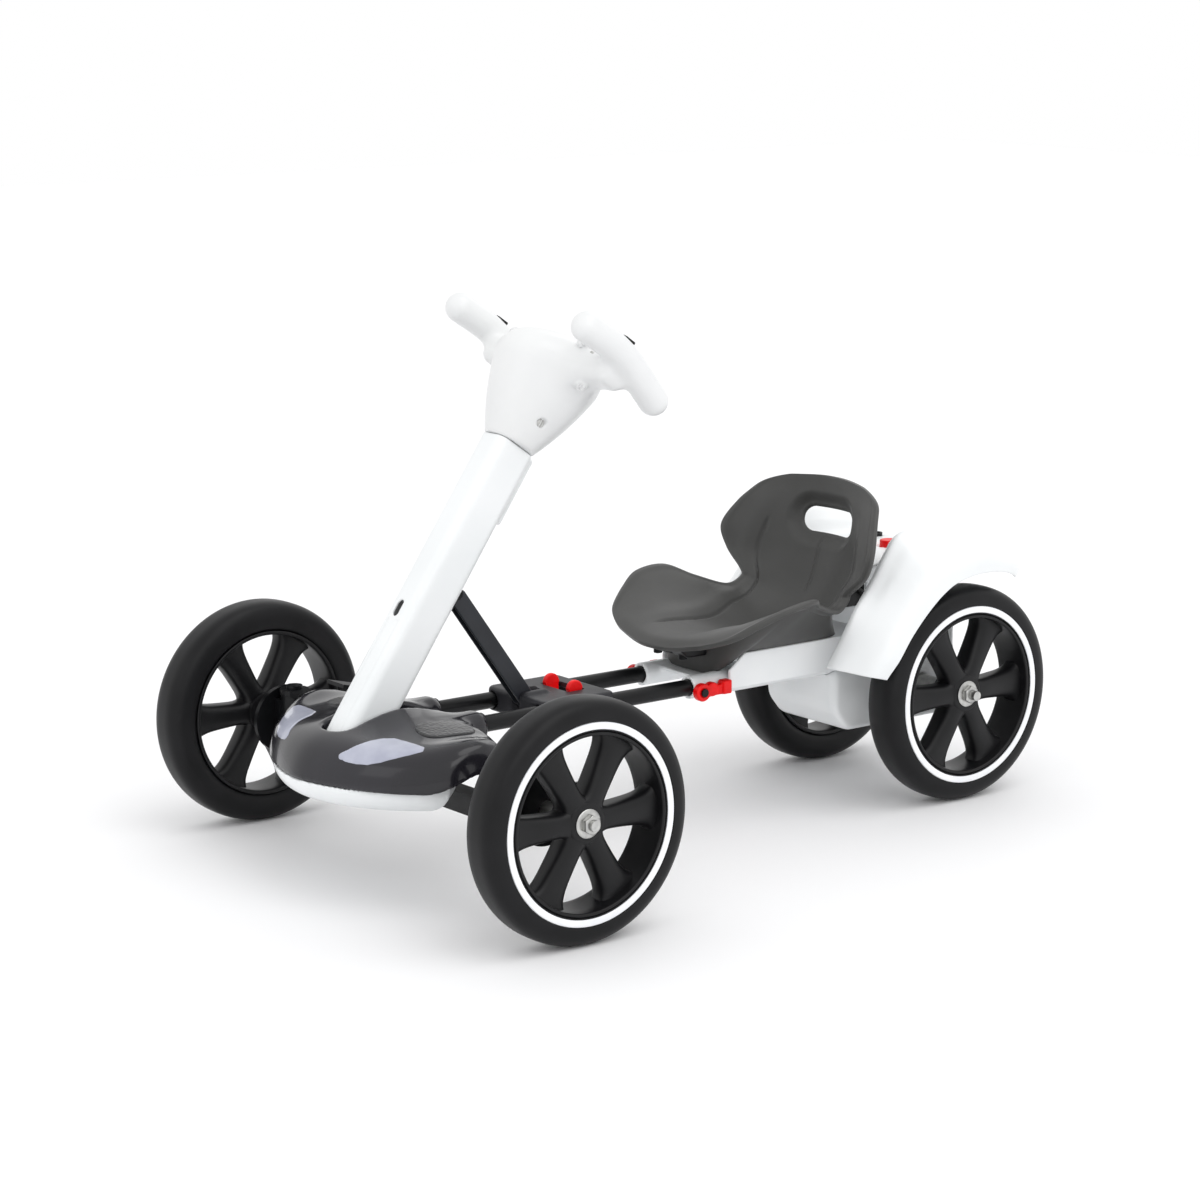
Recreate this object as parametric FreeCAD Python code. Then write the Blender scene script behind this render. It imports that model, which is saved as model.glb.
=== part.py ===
import FreeCAD, Part
import math
import os

# Folding go kart for a child: frame, wheels, steering, fold and seat, one STEP file for each piece.
#
# Axes: +X forwards, +Y to the rider's left, +Z up.  Millimetres.
# The front pieces are drawn about a point on the ground under the front axle, and the rear pieces about one
# under the rear axle.  shift_front and shift_rear then carry them to their places in the whole kart.

Vec = FreeCAD.Vector
SIDES = {"left": 1, "right": -1}

# ---- overall sizes -------------------------------------------------------------------------------------
WHEELBASE = 683.2
WHEEL_R = 125.0
TYRE_WIDTH = 47.5
FRONT_TYRE_OUT = 319.5      # middle of the kart to the outer face of a front tyre
REAR_TYRE_OUT = 143.6
NOSE_REACH = 141.4          # nose of the front shell ahead of the front axle
SEAM_Z = 128.6              # seam between the dark shell and the pale pan
PAN_BOTTOM = 103.0
SHELL_WALL = 3.0
RUN = 0.05                  # radial clearance of a shaft that turns in its hole
GAP = 0.5                   # clearance between faces that move past each other

# ---- wheels --------------------------------------------------------------------------------------------
RIM_R = 93.0                # seat of the tyre on the rim
RIM_WALL = 4.0
HUB_R = 20.0
HUB_IN = 6.0                # hub's inboard end, from the tyre's inboard face
HUB_OUT = 40.0
SPOKES = 6
SPOKE_IN = 12.0
SPOKE_DEPTH = 24.0
SPOKE_AT_HUB = 15.0
SPOKE_AT_RIM = 26.0
BEAD_IN = 3.0               # tyre's bead and the rim's barrel, in from each face
BEAD_BEVEL = 1.5
CROWN_DROP = 1.5            # tread's edge below its crown
TREAD_EDGE = 14.0           # tread's edge in from each face
SIDEWALL_DROP = 18.0        # flat sidewall's edge below the crown
SHOULDER = (6.5, 4.0)       # shoulder's middle, below the crown and in from the face
STRIPE_R = (94.6, 104.0)
STRIPE_DEPTH = 1.5
AXLE_R = 6.0
AXLE_END_R = 5.5            # free end beyond the nut
FRONT_END = 4.0
REAR_END = 8.0
BEARING_R = 12.0
BEARING_W = 6.0
WASHER_R = 15.0
WASHER_T = 2.0
NUT_ACROSS = 18.0
NUT_H = 6.5

# ---- front axle and knuckles, about the front axle -----------------------------------------------------
KINGPIN_Y = 220.0
KINGPIN_R = 5.0
BEAM = 22.0                 # square tube
BEAM_WALL = 2.0
BEAM_Z = 105.0
FORK_PLATE = 6.0
FORK_HALF = 32.0            # middle of the fork's gap to a plate's inner face
FORK_R = 16.0
FORK_WEB_Y = (192.0, 197.0)
KNUCKLE_R = 15.0
COVER_R = 38.0
COVER_T = 6.0
COVER_Y = 18.0              # dust cover's inboard face, from the kingpin
STEER_ARM = 60.0
ARM_T = 6.0
ARM_W = 16.0
ARM_Z = 119.0
BALL_PIN_R = 4.0
TRACK_ROD_R = 5.0
TRACK_ROD_Z = 131.0
EYE_HALF = 5.5              # half the height of the rod's end eyes
EYE_R = 9.0
STEER_LIMIT = 30.0          # degrees each way
EAR_NOTCH = (20.0, 136.0)   # lower edge of the fold pivot's ears, over the track rod's tab at full steer
LOOSE = 0.5                 # radial clearance at a pivot where a closed linkage is opened

# ---- fold pivot, column and strut, about the front axle ------------------------------------------------
FOLD_X = 62.0
FOLD_Z = 168.5
COLUMN_TILT = 55.2          # degrees above the level, leaning back
COLUMN_LONG = 342.0         # fold pivot to the yoke's collar
COLUMN_DEEP = 52.0
COLUMN_WIDE = 42.0
COLUMN_WALL = 3.0
COLUMN_FOOT = 20.0          # below the fold pivot
COLUMN_CORNER = 12.0
SHAFT_R = 7.0
STRUT_AT = 176.0            # along the column, fold pivot to strut pivot
STRUT_OFF = 26.0            # strut pivot behind the column's middle
STRUT_LONG = 161.0
STRUT_FOOT_Z = 168.0
STRUT_WIDE = 14.0
STRUT_DEEP = 20.0
STRUT_WALL = 2.5
STRUT_PIN_R = 4.0
STRUT_END_R = 8.0

# ---- rails, about the front axle -----------------------------------------------------------------------
RAIL_R = 9.0
RAIL_WALL = 1.5
RAIL_Y = 42.0
RAIL_Z = 163.0
SOCKET_R = 12.5
SOCKET_X = (-66.0, 13.0)

# ---- slide bracket, about the front axle ---------------------------------------------------------------
BRACKET_LONG = 96.0
BRACKET_AHEAD = 14.0        # bracket's front end ahead of the strut's foot
BRACKET_TOP = 5.0
TAB_R = 10.0
TAB_T = 6.0
TAB_Y = 21.0
TAB_TRAVEL = 5.0
TAB_BACK = 50.0             # tabs behind the strut's foot
PIN_POCKET_X = 14.0         # room behind the strut's lower pin, which does not quite follow the bracket
PIN_POCKET_Z = 6.0

# ---- yoke, in the column's own directions --------------------------------------------------------------
YOKE_WALL = 3.0
YOKE_PROFILE = ((0.0, 28.0), (17.0, 35.0), (43.0, 46.5), (70.0, 56.0), (92.0, 60.0), (108.0, 57.0),
                (121.0, 46.0))
YOKE_TOP = 135.0
SCREW_AT = ((31.0, 22.0, 40.0), (14.0, 70.0, 92.0), (13.0, 76.0, 112.0))
GRIP_Y = 112.0
GRIP_R = 17.0
GRIP_LINE = ((60.0, 122.0), (5.0, 121.0), (-58.0, 104.0))
BUTTON_U = 7.0              # thumb button, ahead of the column's middle
ARM_AT = (-4.0, 102.0)
ARM_HALF = (22.0, 15.0)

# ---- rear, about the rear axle -------------------------------------------------------------------------
SLEEVE_R = 13.0
SLEEVE_X = (60.0, 316.6)
SIDE_Y = 60.0
SIDE_T = 4.0
SIDE_Z = (157.0, 196.0)
FRAME_FRONT = 291.6
LEVER_X = 331.6
LEVER_LONG = 38.0
LEVER_PIN_R = 3.0
HOUSING_X = (-56.0, 136.6)
HOUSING_Z = (82.0, 156.0)
HOUSING_WALL = 3.0
GEAR_MODULE = 1.5
GEAR_TEETH = 34
PINION_TEETH = 12
GEAR_W = 10.0
GEAR_Y = -34.0
COVER_WALL = 3.0
SEAT_WALL = 6.0
HAND_HOLE_HALF = (38.5, 14.0)   # half width and half height
HAND_HOLE_Z = 318.0
SEAT_FOOT_HALF = 46.0
SEAT_FOOT_WALL = 4.0

# ---- seat, about the rear axle -------------------------------------------------------------------------
# stations along the seat, from the front lip to the top of the back: x, height of the middle, half width,
# rise of the edge above the middle, and how far forward the edge leans
SEAT_STATIONS = (
    (362.0, 214.0, 70.0, 6.0, -8.0),
    (352.0, 222.0, 92.0, 12.0, -12.0),
    (322.0, 220.0, 112.0, 28.0, -6.0),
    (284.0, 214.0, 122.0, 44.0, 0.0),
    (240.0, 209.0, 124.0, 53.0, 0.0),
    (200.0, 207.0, 112.0, 44.0, 0.0),
    (168.0, 211.0, 99.0, 32.0, 2.0),
    (140.0, 224.0, 93.0, 22.0, 10.0),
    (120.0, 246.0, 96.0, 8.0, 24.0),
    (108.0, 274.0, 120.0, 2.0, 36.0),
    (101.0, 302.0, 130.0, 0.0, 38.0),
    (96.0, 330.0, 118.0, 0.0, 28.0),
    (93.0, 352.0, 94.0, -2.0, 14.0),
    (92.0, 366.0, 66.0, -4.0, 6.0),
)

# ---- rear cover, about the rear axle -------------------------------------------------------------------
# stations round the rear wheels: angle over the axle from the front in degrees, radius of the deck, radius
# at the fender's crest and at its outer lip, and how far out the lip reaches
COVER_STATIONS = (
    (15.0, 178.0, 190.0, 138.5, 146.0),
    (26.0, 172.0, 181.5, 133.0, 152.0),
    (40.0, 171.0, 181.0, 130.5, 152.0),
    (50.0, 171.0, 185.0, 131.0, 152.0),
    (58.0, 172.0, 195.0, 133.0, 152.0),
    (66.0, 170.0, 207.0, 136.0, 152.0),
    (74.0, 166.0, 201.0, 139.0, 152.0),
    (86.0, 160.0, 189.0, 141.0, 152.0),
    (98.0, 160.0, 181.0, 144.0, 150.0),
    (110.0, 164.0, 175.0, 150.0, 143.0),
    (121.0, 166.0, 169.0, 158.0, 126.0),
)
COVER_CREST_Y = 105.0
COVER_INNER_Y = 64.0        # half width of the flat deck
SEAT_SPACE_Y = 97.0         # half width of the space that the cover leaves for the seat
SEAT_SPACE_X = 64.0
STAY_X = ((-44.0, -20.0), (40.0, 58.0))
STAY_T = 4.0
SWITCH_R = 11.0


# ---- small helpers -------------------------------------------------------------------------------------
def nose_x():
    return WHEELBASE / 2 + NOSE_REACH


def origin_x():
    """Middle of the kart's length, between the nose and the back of the rear tyres."""
    return (nose_x() - WHEELBASE / 2 - WHEEL_R) / 2


def moved(shape, x=0.0, y=0.0, z=0.0):
    copy = shape.copy()
    copy.translate(Vec(x, y, z))
    return copy


def shift_front(shape):
    return moved(shape, WHEELBASE / 2 - origin_x())


def shift_rear(shape):
    return moved(shape, -WHEELBASE / 2 - origin_x())


def box(x, y, z):
    """A box from three (low, high) pairs."""
    return Part.makeBox(x[1] - x[0], y[1] - y[0], z[1] - z[0], Vec(x[0], y[0], z[0]))


def mirrored(shape):
    return shape.mirror(Vec(0, 0, 0), Vec(0, 1, 0))


def both(shape):
    """A shape and its mirror image across the middle plane, as one fused solid."""
    return shape.fuse(mirrored(shape)).removeSplitter()


def pair(shape):
    """A shape and its mirror image, as two separate solids."""
    return Part.makeCompound([shape, mirrored(shape)])


def rod(start, end, radius):
    """A round bar between two points."""
    way = end.sub(start)
    return Part.makeCylinder(radius, way.Length, start, way)


def ring(start, end, outer, inner):
    """A round tube between two points."""
    return rod(start, end, outer).cut(rod(start, end, inner))


def plate_xz(points, y_low, y_high):
    """An outline of (x, z) points, thick from y_low to y_high."""
    wire = Part.makePolygon([Vec(x, y_low, z) for x, z in points] + [Vec(points[0][0], y_low, points[0][1])])
    return Part.Face(wire).extrude(Vec(0, y_high - y_low, 0))


def plate_xy(points, z_low, z_high):
    """An outline of (x, y) points, thick from z_low to z_high."""
    wire = Part.makePolygon([Vec(x, y, z_low) for x, y in points] + [Vec(points[0][0], points[0][1], z_low)])
    return Part.Face(wire).extrude(Vec(0, 0, z_high - z_low))


def hexagon_nut(centre, side):
    """A hexagon nut along Y with its hole, from centre outwards."""
    corner = NUT_ACROSS / math.sqrt(3)
    turns = [math.radians(60 * n) for n in range(6)]
    points = [Vec(centre.x + corner * math.cos(t), centre.y, centre.z + corner * math.sin(t)) for t in turns]
    solid = Part.Face(Part.makePolygon(points + points[:1])).extrude(Vec(0, side * NUT_H, 0))
    return solid.cut(rod(centre, centre.add(Vec(0, side * NUT_H, 0)), AXLE_R))


def spline(points):
    curve = Part.BSplineCurve()
    curve.interpolate(points)
    return curve.toShape()


def skin(upper_rows, lower_rows):
    """A closed sheet between two smooth faces, each given as rows of points."""
    faces = []
    for rows in (upper_rows, lower_rows):
        surface = Part.BSplineSurface()
        surface.interpolate(rows)
        faces.append(surface.toShape())
    walls = []
    for upper, lower in zip(border_ends(upper_rows), border_ends(lower_rows)):
        edges = [find_edge(faces[0], *upper), find_edge(faces[1], *lower)]
        walls.append(Part.makeRuledSurface(edges[0], edges[1]))
    shell = Part.makeShell(faces + walls)
    shell.sewShape()
    solid = Part.makeSolid(shell)
    if solid.Volume < 0:
        solid.reverse()
    return solid


def border_ends(rows):
    """The two ends of each of the four borders of a face given as rows of points."""
    first, last = rows[0], rows[-1]
    return [(first[0], first[-1]), (first[0], last[0]), (last[0], last[-1]), (first[-1], last[-1])]


def find_edge(face, start, end):
    """The edge of a face that runs between two corners."""
    def miss(edge):
        a, b = edge.Vertexes[0].Point, edge.Vertexes[-1].Point
        forwards = a.distanceToPoint(start) + b.distanceToPoint(end)
        backwards = a.distanceToPoint(end) + b.distanceToPoint(start)
        return min(forwards, backwards)
    return min(face.Edges, key=miss)


def smooth(edge_low, edge_high, value):
    """0 below edge_low, 1 above edge_high and a smooth step between them."""
    t = min(max((value - edge_low) / (edge_high - edge_low), 0.0), 1.0)
    return t * t * (3 - 2 * t)


def bump(distance, width):
    return math.exp(-(distance / width) ** 2)


# ---- wheels --------------------------------------------------------------------------------------------
def tyre():
    """Tyre about the Y axis, with its inboard face at y = 0."""
    edge_r, sidewall_r, bead_r = WHEEL_R - CROWN_DROP, WHEEL_R - SIDEWALL_DROP, RIM_R + BEAD_BEVEL
    outer = TYRE_WIDTH
    corners = [(RIM_R, BEAD_IN), (RIM_R, outer - BEAD_IN), (bead_r, outer), (sidewall_r, outer)]
    walls = [Vec(r, y, 0) for r, y in corners]
    inner_walls = [Vec(sidewall_r, 0, 0), Vec(bead_r, 0, 0), Vec(RIM_R, BEAD_IN, 0)]
    edges = [Part.LineSegment(a, b).toShape() for a, b in zip(walls, walls[1:])]
    edges += [Part.LineSegment(a, b).toShape() for a, b in zip(inner_walls, inner_walls[1:])]
    shoulder_r, shoulder_in = WHEEL_R - SHOULDER[0], SHOULDER[1]
    arcs = [(walls[-1], Vec(shoulder_r, outer - shoulder_in, 0), Vec(edge_r, outer - TREAD_EDGE, 0)),
            (Vec(edge_r, outer - TREAD_EDGE, 0), Vec(WHEEL_R, outer / 2, 0), Vec(edge_r, TREAD_EDGE, 0)),
            (Vec(edge_r, TREAD_EDGE, 0), Vec(shoulder_r, shoulder_in, 0), inner_walls[0])]
    edges += [Part.Arc(*arc).toShape() for arc in arcs]
    wire = Part.Wire(Part.__sortEdges__(edges))
    solid = Part.Face(wire).revolve(Vec(0, 0, 0), Vec(0, 1, 0), 360)
    return solid.cut(stripe())


def stripe():
    """Flat ring let into the tyre's outer face."""
    low = Vec(0, TYRE_WIDTH - STRIPE_DEPTH, 0)
    return ring(low, Vec(0, TYRE_WIDTH, 0), STRIPE_R[1], STRIPE_R[0])


def spoke():
    """One spoke, wider where it meets the rim."""
    near = HUB_R - 3
    far = RIM_R - RIM_WALL / 2
    middle = (near + far) / 2
    outline = [(near, -SPOKE_AT_HUB / 2), (middle, -SPOKE_AT_HUB / 2), (far, -SPOKE_AT_RIM / 2),
               (far, SPOKE_AT_RIM / 2), (middle, SPOKE_AT_HUB / 2), (near, SPOKE_AT_HUB / 2)]
    return plate_xz(outline, SPOKE_IN, SPOKE_IN + SPOKE_DEPTH)


def rim(bore_r, bearings):
    """Deep barrel, hub and spokes about the Y axis, with room for the bearings."""
    barrel = ring(Vec(0, BEAD_IN, 0), Vec(0, TYRE_WIDTH - BEAD_IN, 0), RIM_R, RIM_R - RIM_WALL)
    hub = rod(Vec(0, HUB_IN, 0), Vec(0, HUB_OUT, 0), HUB_R)
    pieces = [hub]
    for n in range(SPOKES):
        arm = spoke()
        arm.rotate(Vec(0, 0, 0), Vec(0, 1, 0), n * 360 / SPOKES)
        pieces.append(arm)
    limit = rod(Vec(0, BEAD_IN, 0), Vec(0, TYRE_WIDTH - BEAD_IN, 0), RIM_R)
    solid = barrel.fuse(pieces).common(limit)
    solid = solid.cut(rod(Vec(0, 0, 0), Vec(0, TYRE_WIDTH, 0), bore_r))
    if bearings:
        solid = solid.cut(rod(Vec(0, HUB_IN, 0), Vec(0, HUB_IN + BEARING_W, 0), BEARING_R))
        solid = solid.cut(rod(Vec(0, HUB_OUT - BEARING_W, 0), Vec(0, HUB_OUT, 0), BEARING_R))
    return solid.removeSplitter()


def wheel_bearings():
    inner = ring(Vec(0, HUB_IN, 0), Vec(0, HUB_IN + BEARING_W, 0), BEARING_R, AXLE_R + RUN)
    outer = ring(Vec(0, HUB_OUT - BEARING_W, 0), Vec(0, HUB_OUT, 0), BEARING_R, AXLE_R + RUN)
    return Part.makeCompound([inner, outer])


def washer_and_nut(face_y):
    """Washer and nut on an axle end, outwards from face_y."""
    start = Vec(0, face_y, WHEEL_R)
    washer = ring(start, start.add(Vec(0, WASHER_T, 0)), WASHER_R, AXLE_R)
    return Part.makeCompound([washer, hexagon_nut(start.add(Vec(0, WASHER_T, 0)), 1)])


def place_wheel(shape, tyre_out):
    """A left wheel piece at its axle's height."""
    return moved(shape, 0, tyre_out - TYRE_WIDTH, WHEEL_R)


# ---- knuckles, beam and steering links -----------------------------------------------------------------
def front_hub_y():
    return FRONT_TYRE_OUT - TYRE_WIDTH + HUB_OUT


def knuckle():
    """Left knuckle: housing round the kingpin, dust cover and steering arm in one casting."""
    low = WHEEL_R - FORK_HALF + GAP
    high = WHEEL_R + FORK_HALF - GAP
    solid = rod(Vec(0, KINGPIN_Y, low), Vec(0, KINGPIN_Y, high), KNUCKLE_R)
    neck = box((-KNUCKLE_R + 1, KNUCKLE_R - 1), (KINGPIN_Y, KINGPIN_Y + COVER_Y + 1), (low + 6, high - 6))
    disc = rod(Vec(0, KINGPIN_Y + COVER_Y, WHEEL_R), Vec(0, KINGPIN_Y + COVER_Y + COVER_T, WHEEL_R), COVER_R)
    arm = box((-STEER_ARM, 0), (KINGPIN_Y - ARM_W / 2, KINGPIN_Y + ARM_W / 2), (ARM_Z, ARM_Z + ARM_T))
    end = rod(Vec(-STEER_ARM, KINGPIN_Y, ARM_Z), Vec(-STEER_ARM, KINGPIN_Y, ARM_Z + ARM_T), ARM_W / 2)
    ball_low = Vec(-STEER_ARM, KINGPIN_Y, ARM_Z + ARM_T - 1)
    ball_pin = rod(ball_low, Vec(-STEER_ARM, KINGPIN_Y, rod_top() + 2), BALL_PIN_R)
    solid = solid.fuse([neck, disc, arm, end, ball_pin])
    solid = solid.cut(rod(Vec(0, KINGPIN_Y, low - 1), Vec(0, KINGPIN_Y, high + 1), KINGPIN_R + RUN))
    seat = rod(Vec(0, KINGPIN_Y + 9, WHEEL_R), Vec(0, front_hub_y(), WHEEL_R), AXLE_R)
    return solid.cut(seat).removeSplitter()


def rod_top():
    return TRACK_ROD_Z + TRACK_ROD_R


def stub_axle():
    """Left stub axle with its shoulder, from the knuckle to the threaded end."""
    shoulder_y = FRONT_TYRE_OUT - TYRE_WIDTH + HUB_IN - GAP / 2
    start = KINGPIN_Y + 9
    end = front_hub_y() + GAP / 2 + WASHER_T + NUT_H
    bar = rod(Vec(0, start, WHEEL_R), Vec(0, end, WHEEL_R), AXLE_R)
    bar = bar.fuse(rod(Vec(0, end, WHEEL_R), Vec(0, end + FRONT_END, WHEEL_R), AXLE_END_R))
    collar = rod(Vec(0, KINGPIN_Y + COVER_Y + COVER_T, WHEEL_R), Vec(0, shoulder_y, WHEEL_R), AXLE_R + 3)
    return bar.fuse(collar).removeSplitter()


def front_axle_beam():
    """Square tube across the kart with a fork for a kingpin at each end."""
    across = (-FORK_WEB_Y[0], FORK_WEB_Y[0])
    outer = box((-BEAM / 2, BEAM / 2), across, (BEAM_Z - BEAM / 2, BEAM_Z + BEAM / 2))
    half = BEAM / 2 - BEAM_WALL
    inner = box((-half, half), across, (BEAM_Z - half, BEAM_Z + half))
    low = WHEEL_R - FORK_HALF - FORK_PLATE
    high = WHEEL_R + FORK_HALF + FORK_PLATE
    web = box((-FORK_R + 4, FORK_R - 4), FORK_WEB_Y, (low, high))
    pieces = [web]
    for z in (low, high - FORK_PLATE):
        pieces.append(box((-FORK_R + 4, FORK_R - 4), (FORK_WEB_Y[0], KINGPIN_Y), (z, z + FORK_PLATE)))
        pieces.append(rod(Vec(0, KINGPIN_Y, z), Vec(0, KINGPIN_Y, z + FORK_PLATE), FORK_R))
    fork = pieces[0].fuse(pieces[1:])
    fork = fork.cut(rod(Vec(0, KINGPIN_Y, low - 1), Vec(0, KINGPIN_Y, high + 1), KINGPIN_R))
    return outer.cut(inner).fuse([fork, mirrored(fork)]).removeSplitter()


def kingpin():
    low = WHEEL_R - FORK_HALF - FORK_PLATE
    high = WHEEL_R + FORK_HALF + FORK_PLATE
    pin = rod(Vec(0, KINGPIN_Y, low - 3), Vec(0, KINGPIN_Y, high), KINGPIN_R)
    head = rod(Vec(0, KINGPIN_Y, high), Vec(0, KINGPIN_Y, high + 4), KINGPIN_R + 4)
    return pin.fuse(head).removeSplitter()


def track_rod():
    """Rod between the two steering arms, with the tab that the pitman arm moves."""
    bar_end = KINGPIN_Y - BALL_PIN_R - 3
    bar = rod(Vec(-STEER_ARM, -bar_end, TRACK_ROD_Z), Vec(-STEER_ARM, bar_end, TRACK_ROD_Z), TRACK_ROD_R)
    eyes = []
    for side in SIDES.values():
        low = Vec(-STEER_ARM, side * KINGPIN_Y, TRACK_ROD_Z - EYE_HALF)
        eyes.append(rod(low, low.add(Vec(0, 0, 2 * EYE_HALF)), EYE_R))
    tab_low = TRACK_ROD_Z - 3
    tab = box((-STEER_ARM, pitman_end()), (-6, 6), (tab_low, tab_low + 6))
    tab_end = rod(Vec(pitman_end(), 0, tab_low), Vec(pitman_end(), 0, tab_low + 6), 8)
    pin = rod(Vec(pitman_end(), 0, ARM_Z - 1.5), Vec(pitman_end(), 0, tab_low + 1), BALL_PIN_R - 1)
    solid = bar.fuse(eyes + [tab, tab_end, pin])
    for side, clearance in ((1, RUN), (-1, LOOSE)):
        low = Vec(-STEER_ARM, side * KINGPIN_Y, ARM_Z)
        solid = solid.cut(rod(low, low.add(Vec(0, 0, 4 * TRACK_ROD_R)), BALL_PIN_R + clearance))
    return solid.removeSplitter()


def pitman_end():
    return FOLD_X - STEER_ARM


def lower_steering_shaft():
    """Short upright shaft with the pitman arm below and the cup of the steering joint above."""
    shaft = rod(Vec(FOLD_X, 0, ARM_Z - 2), Vec(FOLD_X, 0, FOLD_Z - 10), SHAFT_R)
    boss = rod(Vec(FOLD_X, 0, ARM_Z - 2), Vec(FOLD_X, 0, ARM_Z + ARM_T + 2), ARM_W / 2 + 3)
    arm = box((pitman_end(), FOLD_X), (-6, 6), (ARM_Z, ARM_Z + ARM_T))
    end = rod(Vec(pitman_end(), 0, ARM_Z), Vec(pitman_end(), 0, ARM_Z + ARM_T), 7)
    cup = rod(Vec(FOLD_X, 0, FOLD_Z - 13), Vec(FOLD_X, 0, FOLD_Z - 3), SHAFT_R + 4)
    hollow = Part.makeSphere(SHAFT_R + 2, Vec(FOLD_X, 0, FOLD_Z))
    solid = shaft.fuse([boss, arm, end, cup]).cut(hollow)
    bore_low = Vec(pitman_end(), 0, ARM_Z - 1)
    bore = rod(bore_low, Vec(pitman_end(), 0, ARM_Z + ARM_T + 1), BALL_PIN_R - 1 + LOOSE)
    return solid.cut(bore).removeSplitter()


def front_frame():
    """Welded steel block: rail sockets, ears of the fold pivot and the bearing of the lower steering shaft."""
    beam_top = BEAM_Z + BEAM / 2
    ear_y = (COLUMN_WIDE / 2 + 2, COLUMN_WIDE / 2 + 9)
    socket = rod(Vec(SOCKET_X[0], RAIL_Y, RAIL_Z), Vec(SOCKET_X[1], RAIL_Y, RAIL_Z), SOCKET_R)
    post = box((-BEAM / 2, BEAM / 2), (RAIL_Y - 2, RAIL_Y + 8), (beam_top, RAIL_Z))
    ear = plate_xz([(-40, RAIL_Z - 20), EAR_NOTCH, (FOLD_X - 20, FOLD_Z - 41), (FOLD_X + 9, FOLD_Z - 41),
                    (FOLD_X + 9, FOLD_Z), (FOLD_X + 3, FOLD_Z + 8), (FOLD_X - 10, FOLD_Z + 6),
                    (-40, RAIL_Z + 6)], ear_y[0], ear_y[1])
    half = socket.fuse([post, ear])
    tie = box((-40, -34), (-ear_y[1], ear_y[1]), (RAIL_Z - 18, RAIL_Z - 4))
    floor = box((FOLD_X - 18, FOLD_X + 8), (-ear_y[1], ear_y[1]), (FOLD_Z - 41, FOLD_Z - 35))
    solid = half.fuse([mirrored(half), tie, floor])
    bore = rod(Vec(SOCKET_X[0] - 1, RAIL_Y, RAIL_Z), Vec(SOCKET_X[1] - 8, RAIL_Y, RAIL_Z), RAIL_R)
    pin = rod(Vec(FOLD_X, 0, FOLD_Z), Vec(FOLD_X, 2 * COLUMN_WIDE, FOLD_Z), KINGPIN_R)
    shaft = rod(Vec(FOLD_X, 0, 0), Vec(FOLD_X, 0, FOLD_Z - 20), SHAFT_R + RUN)
    return solid.cut([bore, mirrored(bore), pin, mirrored(pin), shaft]).removeSplitter()


def fold_pivot_pin():
    """Left of the two short pins, through its ear into the column's side wall."""
    inner = COLUMN_WIDE / 2 - COLUMN_WALL + 0.5
    outer = COLUMN_WIDE / 2 + 9
    pin = rod(Vec(FOLD_X, inner, FOLD_Z), Vec(FOLD_X, outer, FOLD_Z), KINGPIN_R)
    head = rod(Vec(FOLD_X, outer, FOLD_Z), Vec(FOLD_X, outer + 3, FOLD_Z), KINGPIN_R + 1.5)
    return pin.fuse(head).removeSplitter()


def rail():
    """Left rail, from its socket to inside the rear frame's sleeve."""
    front = SOCKET_X[1] - 8
    return ring(Vec(rail_back(), RAIL_Y, RAIL_Z), Vec(front, RAIL_Y, RAIL_Z), RAIL_R, RAIL_R - RAIL_WALL)


def rail_back():
    """Rear end of the rails: well inside the sleeves, measured from the front axle."""
    return SLEEVE_X[1] - 150.0 - WHEELBASE


# ---- front shells --------------------------------------------------------------------------------------
def closed_outline(points, z):
    """A closed wire from half an outline: a curve through the nose, then straight runs round the back.

    points start at the nose, on the middle line, and end at the back."""
    curved = [p for p in points if p[2]]
    nose = [Vec(x, -y, z) for x, y, _ in reversed(curved[1:])] + [Vec(x, y, z) for x, y, _ in curved]
    straight = [Vec(curved[-1][0], curved[-1][1], z)] + [Vec(x, y, z) for x, y, bent in points if not bent]
    back = straight + [Vec(p.x, -p.y, z) for p in reversed(straight)]
    edges = [spline(nose)]
    for start, end in zip(back, back[1:]):
        edges.append(Part.LineSegment(start, end).toShape())
    return Part.Wire(Part.__sortEdges__(edges))


def upper_outline(inset=0.0):
    """Half outline of the dark shell: nose, side lobe, footrest and rail socket."""
    return [(NOSE_REACH - inset, 0, True), (NOSE_REACH - 5 - inset, 30, True),
            (126 - inset, 62 - inset / 2, True), (112 - inset, 94 - inset, True),
            (92 - inset, 122 - inset, True), (66 - inset, 146 - inset, True),
            (34, 165 - inset, True), (6, 166 - inset, True), (-12 + inset, 150 - inset, True),
            (-24 + inset, 118 - inset, False), (-36 + inset, 80 - inset, False),
            (-40 + inset, 57, False), (-62 + inset, 57 - inset, False), (-62 + inset, 28, False)]


def pan_outline(inset):
    """Half outline of the pale pan under the nose."""
    reach = NOSE_REACH - inset
    return [(reach, 0, True), (reach - 4, 32, True), (reach - 14, 60, True), (reach - 30, 88, True),
            (reach - 52, 114, True), (reach - 76, 134, True), (reach - 96, 141, True), (16, 112, False)]


def shell_height(x, y):
    """Height of the dark shell's top over the ground."""
    side = abs(y)
    front = math.hypot(x / NOSE_REACH, 0.62 * side / 165.0) if x > 0 else 0.0
    height = 171.0
    height += 24.0 * bump(side, 52) * bump(x - 26, 62)
    height += 9.0 * bump(side - 148, 30) * bump(x - 25, 46)
    height += 5.0 * bump(side - 82, 34) * bump(x - 10, 46)
    height -= 16.0 * max(front, 0.0) ** 7
    height -= 20.0 * smooth(152, 172, side)
    height -= 8.0 * smooth(-20, -60, x) if x > -60 else 8.0
    return height


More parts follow.
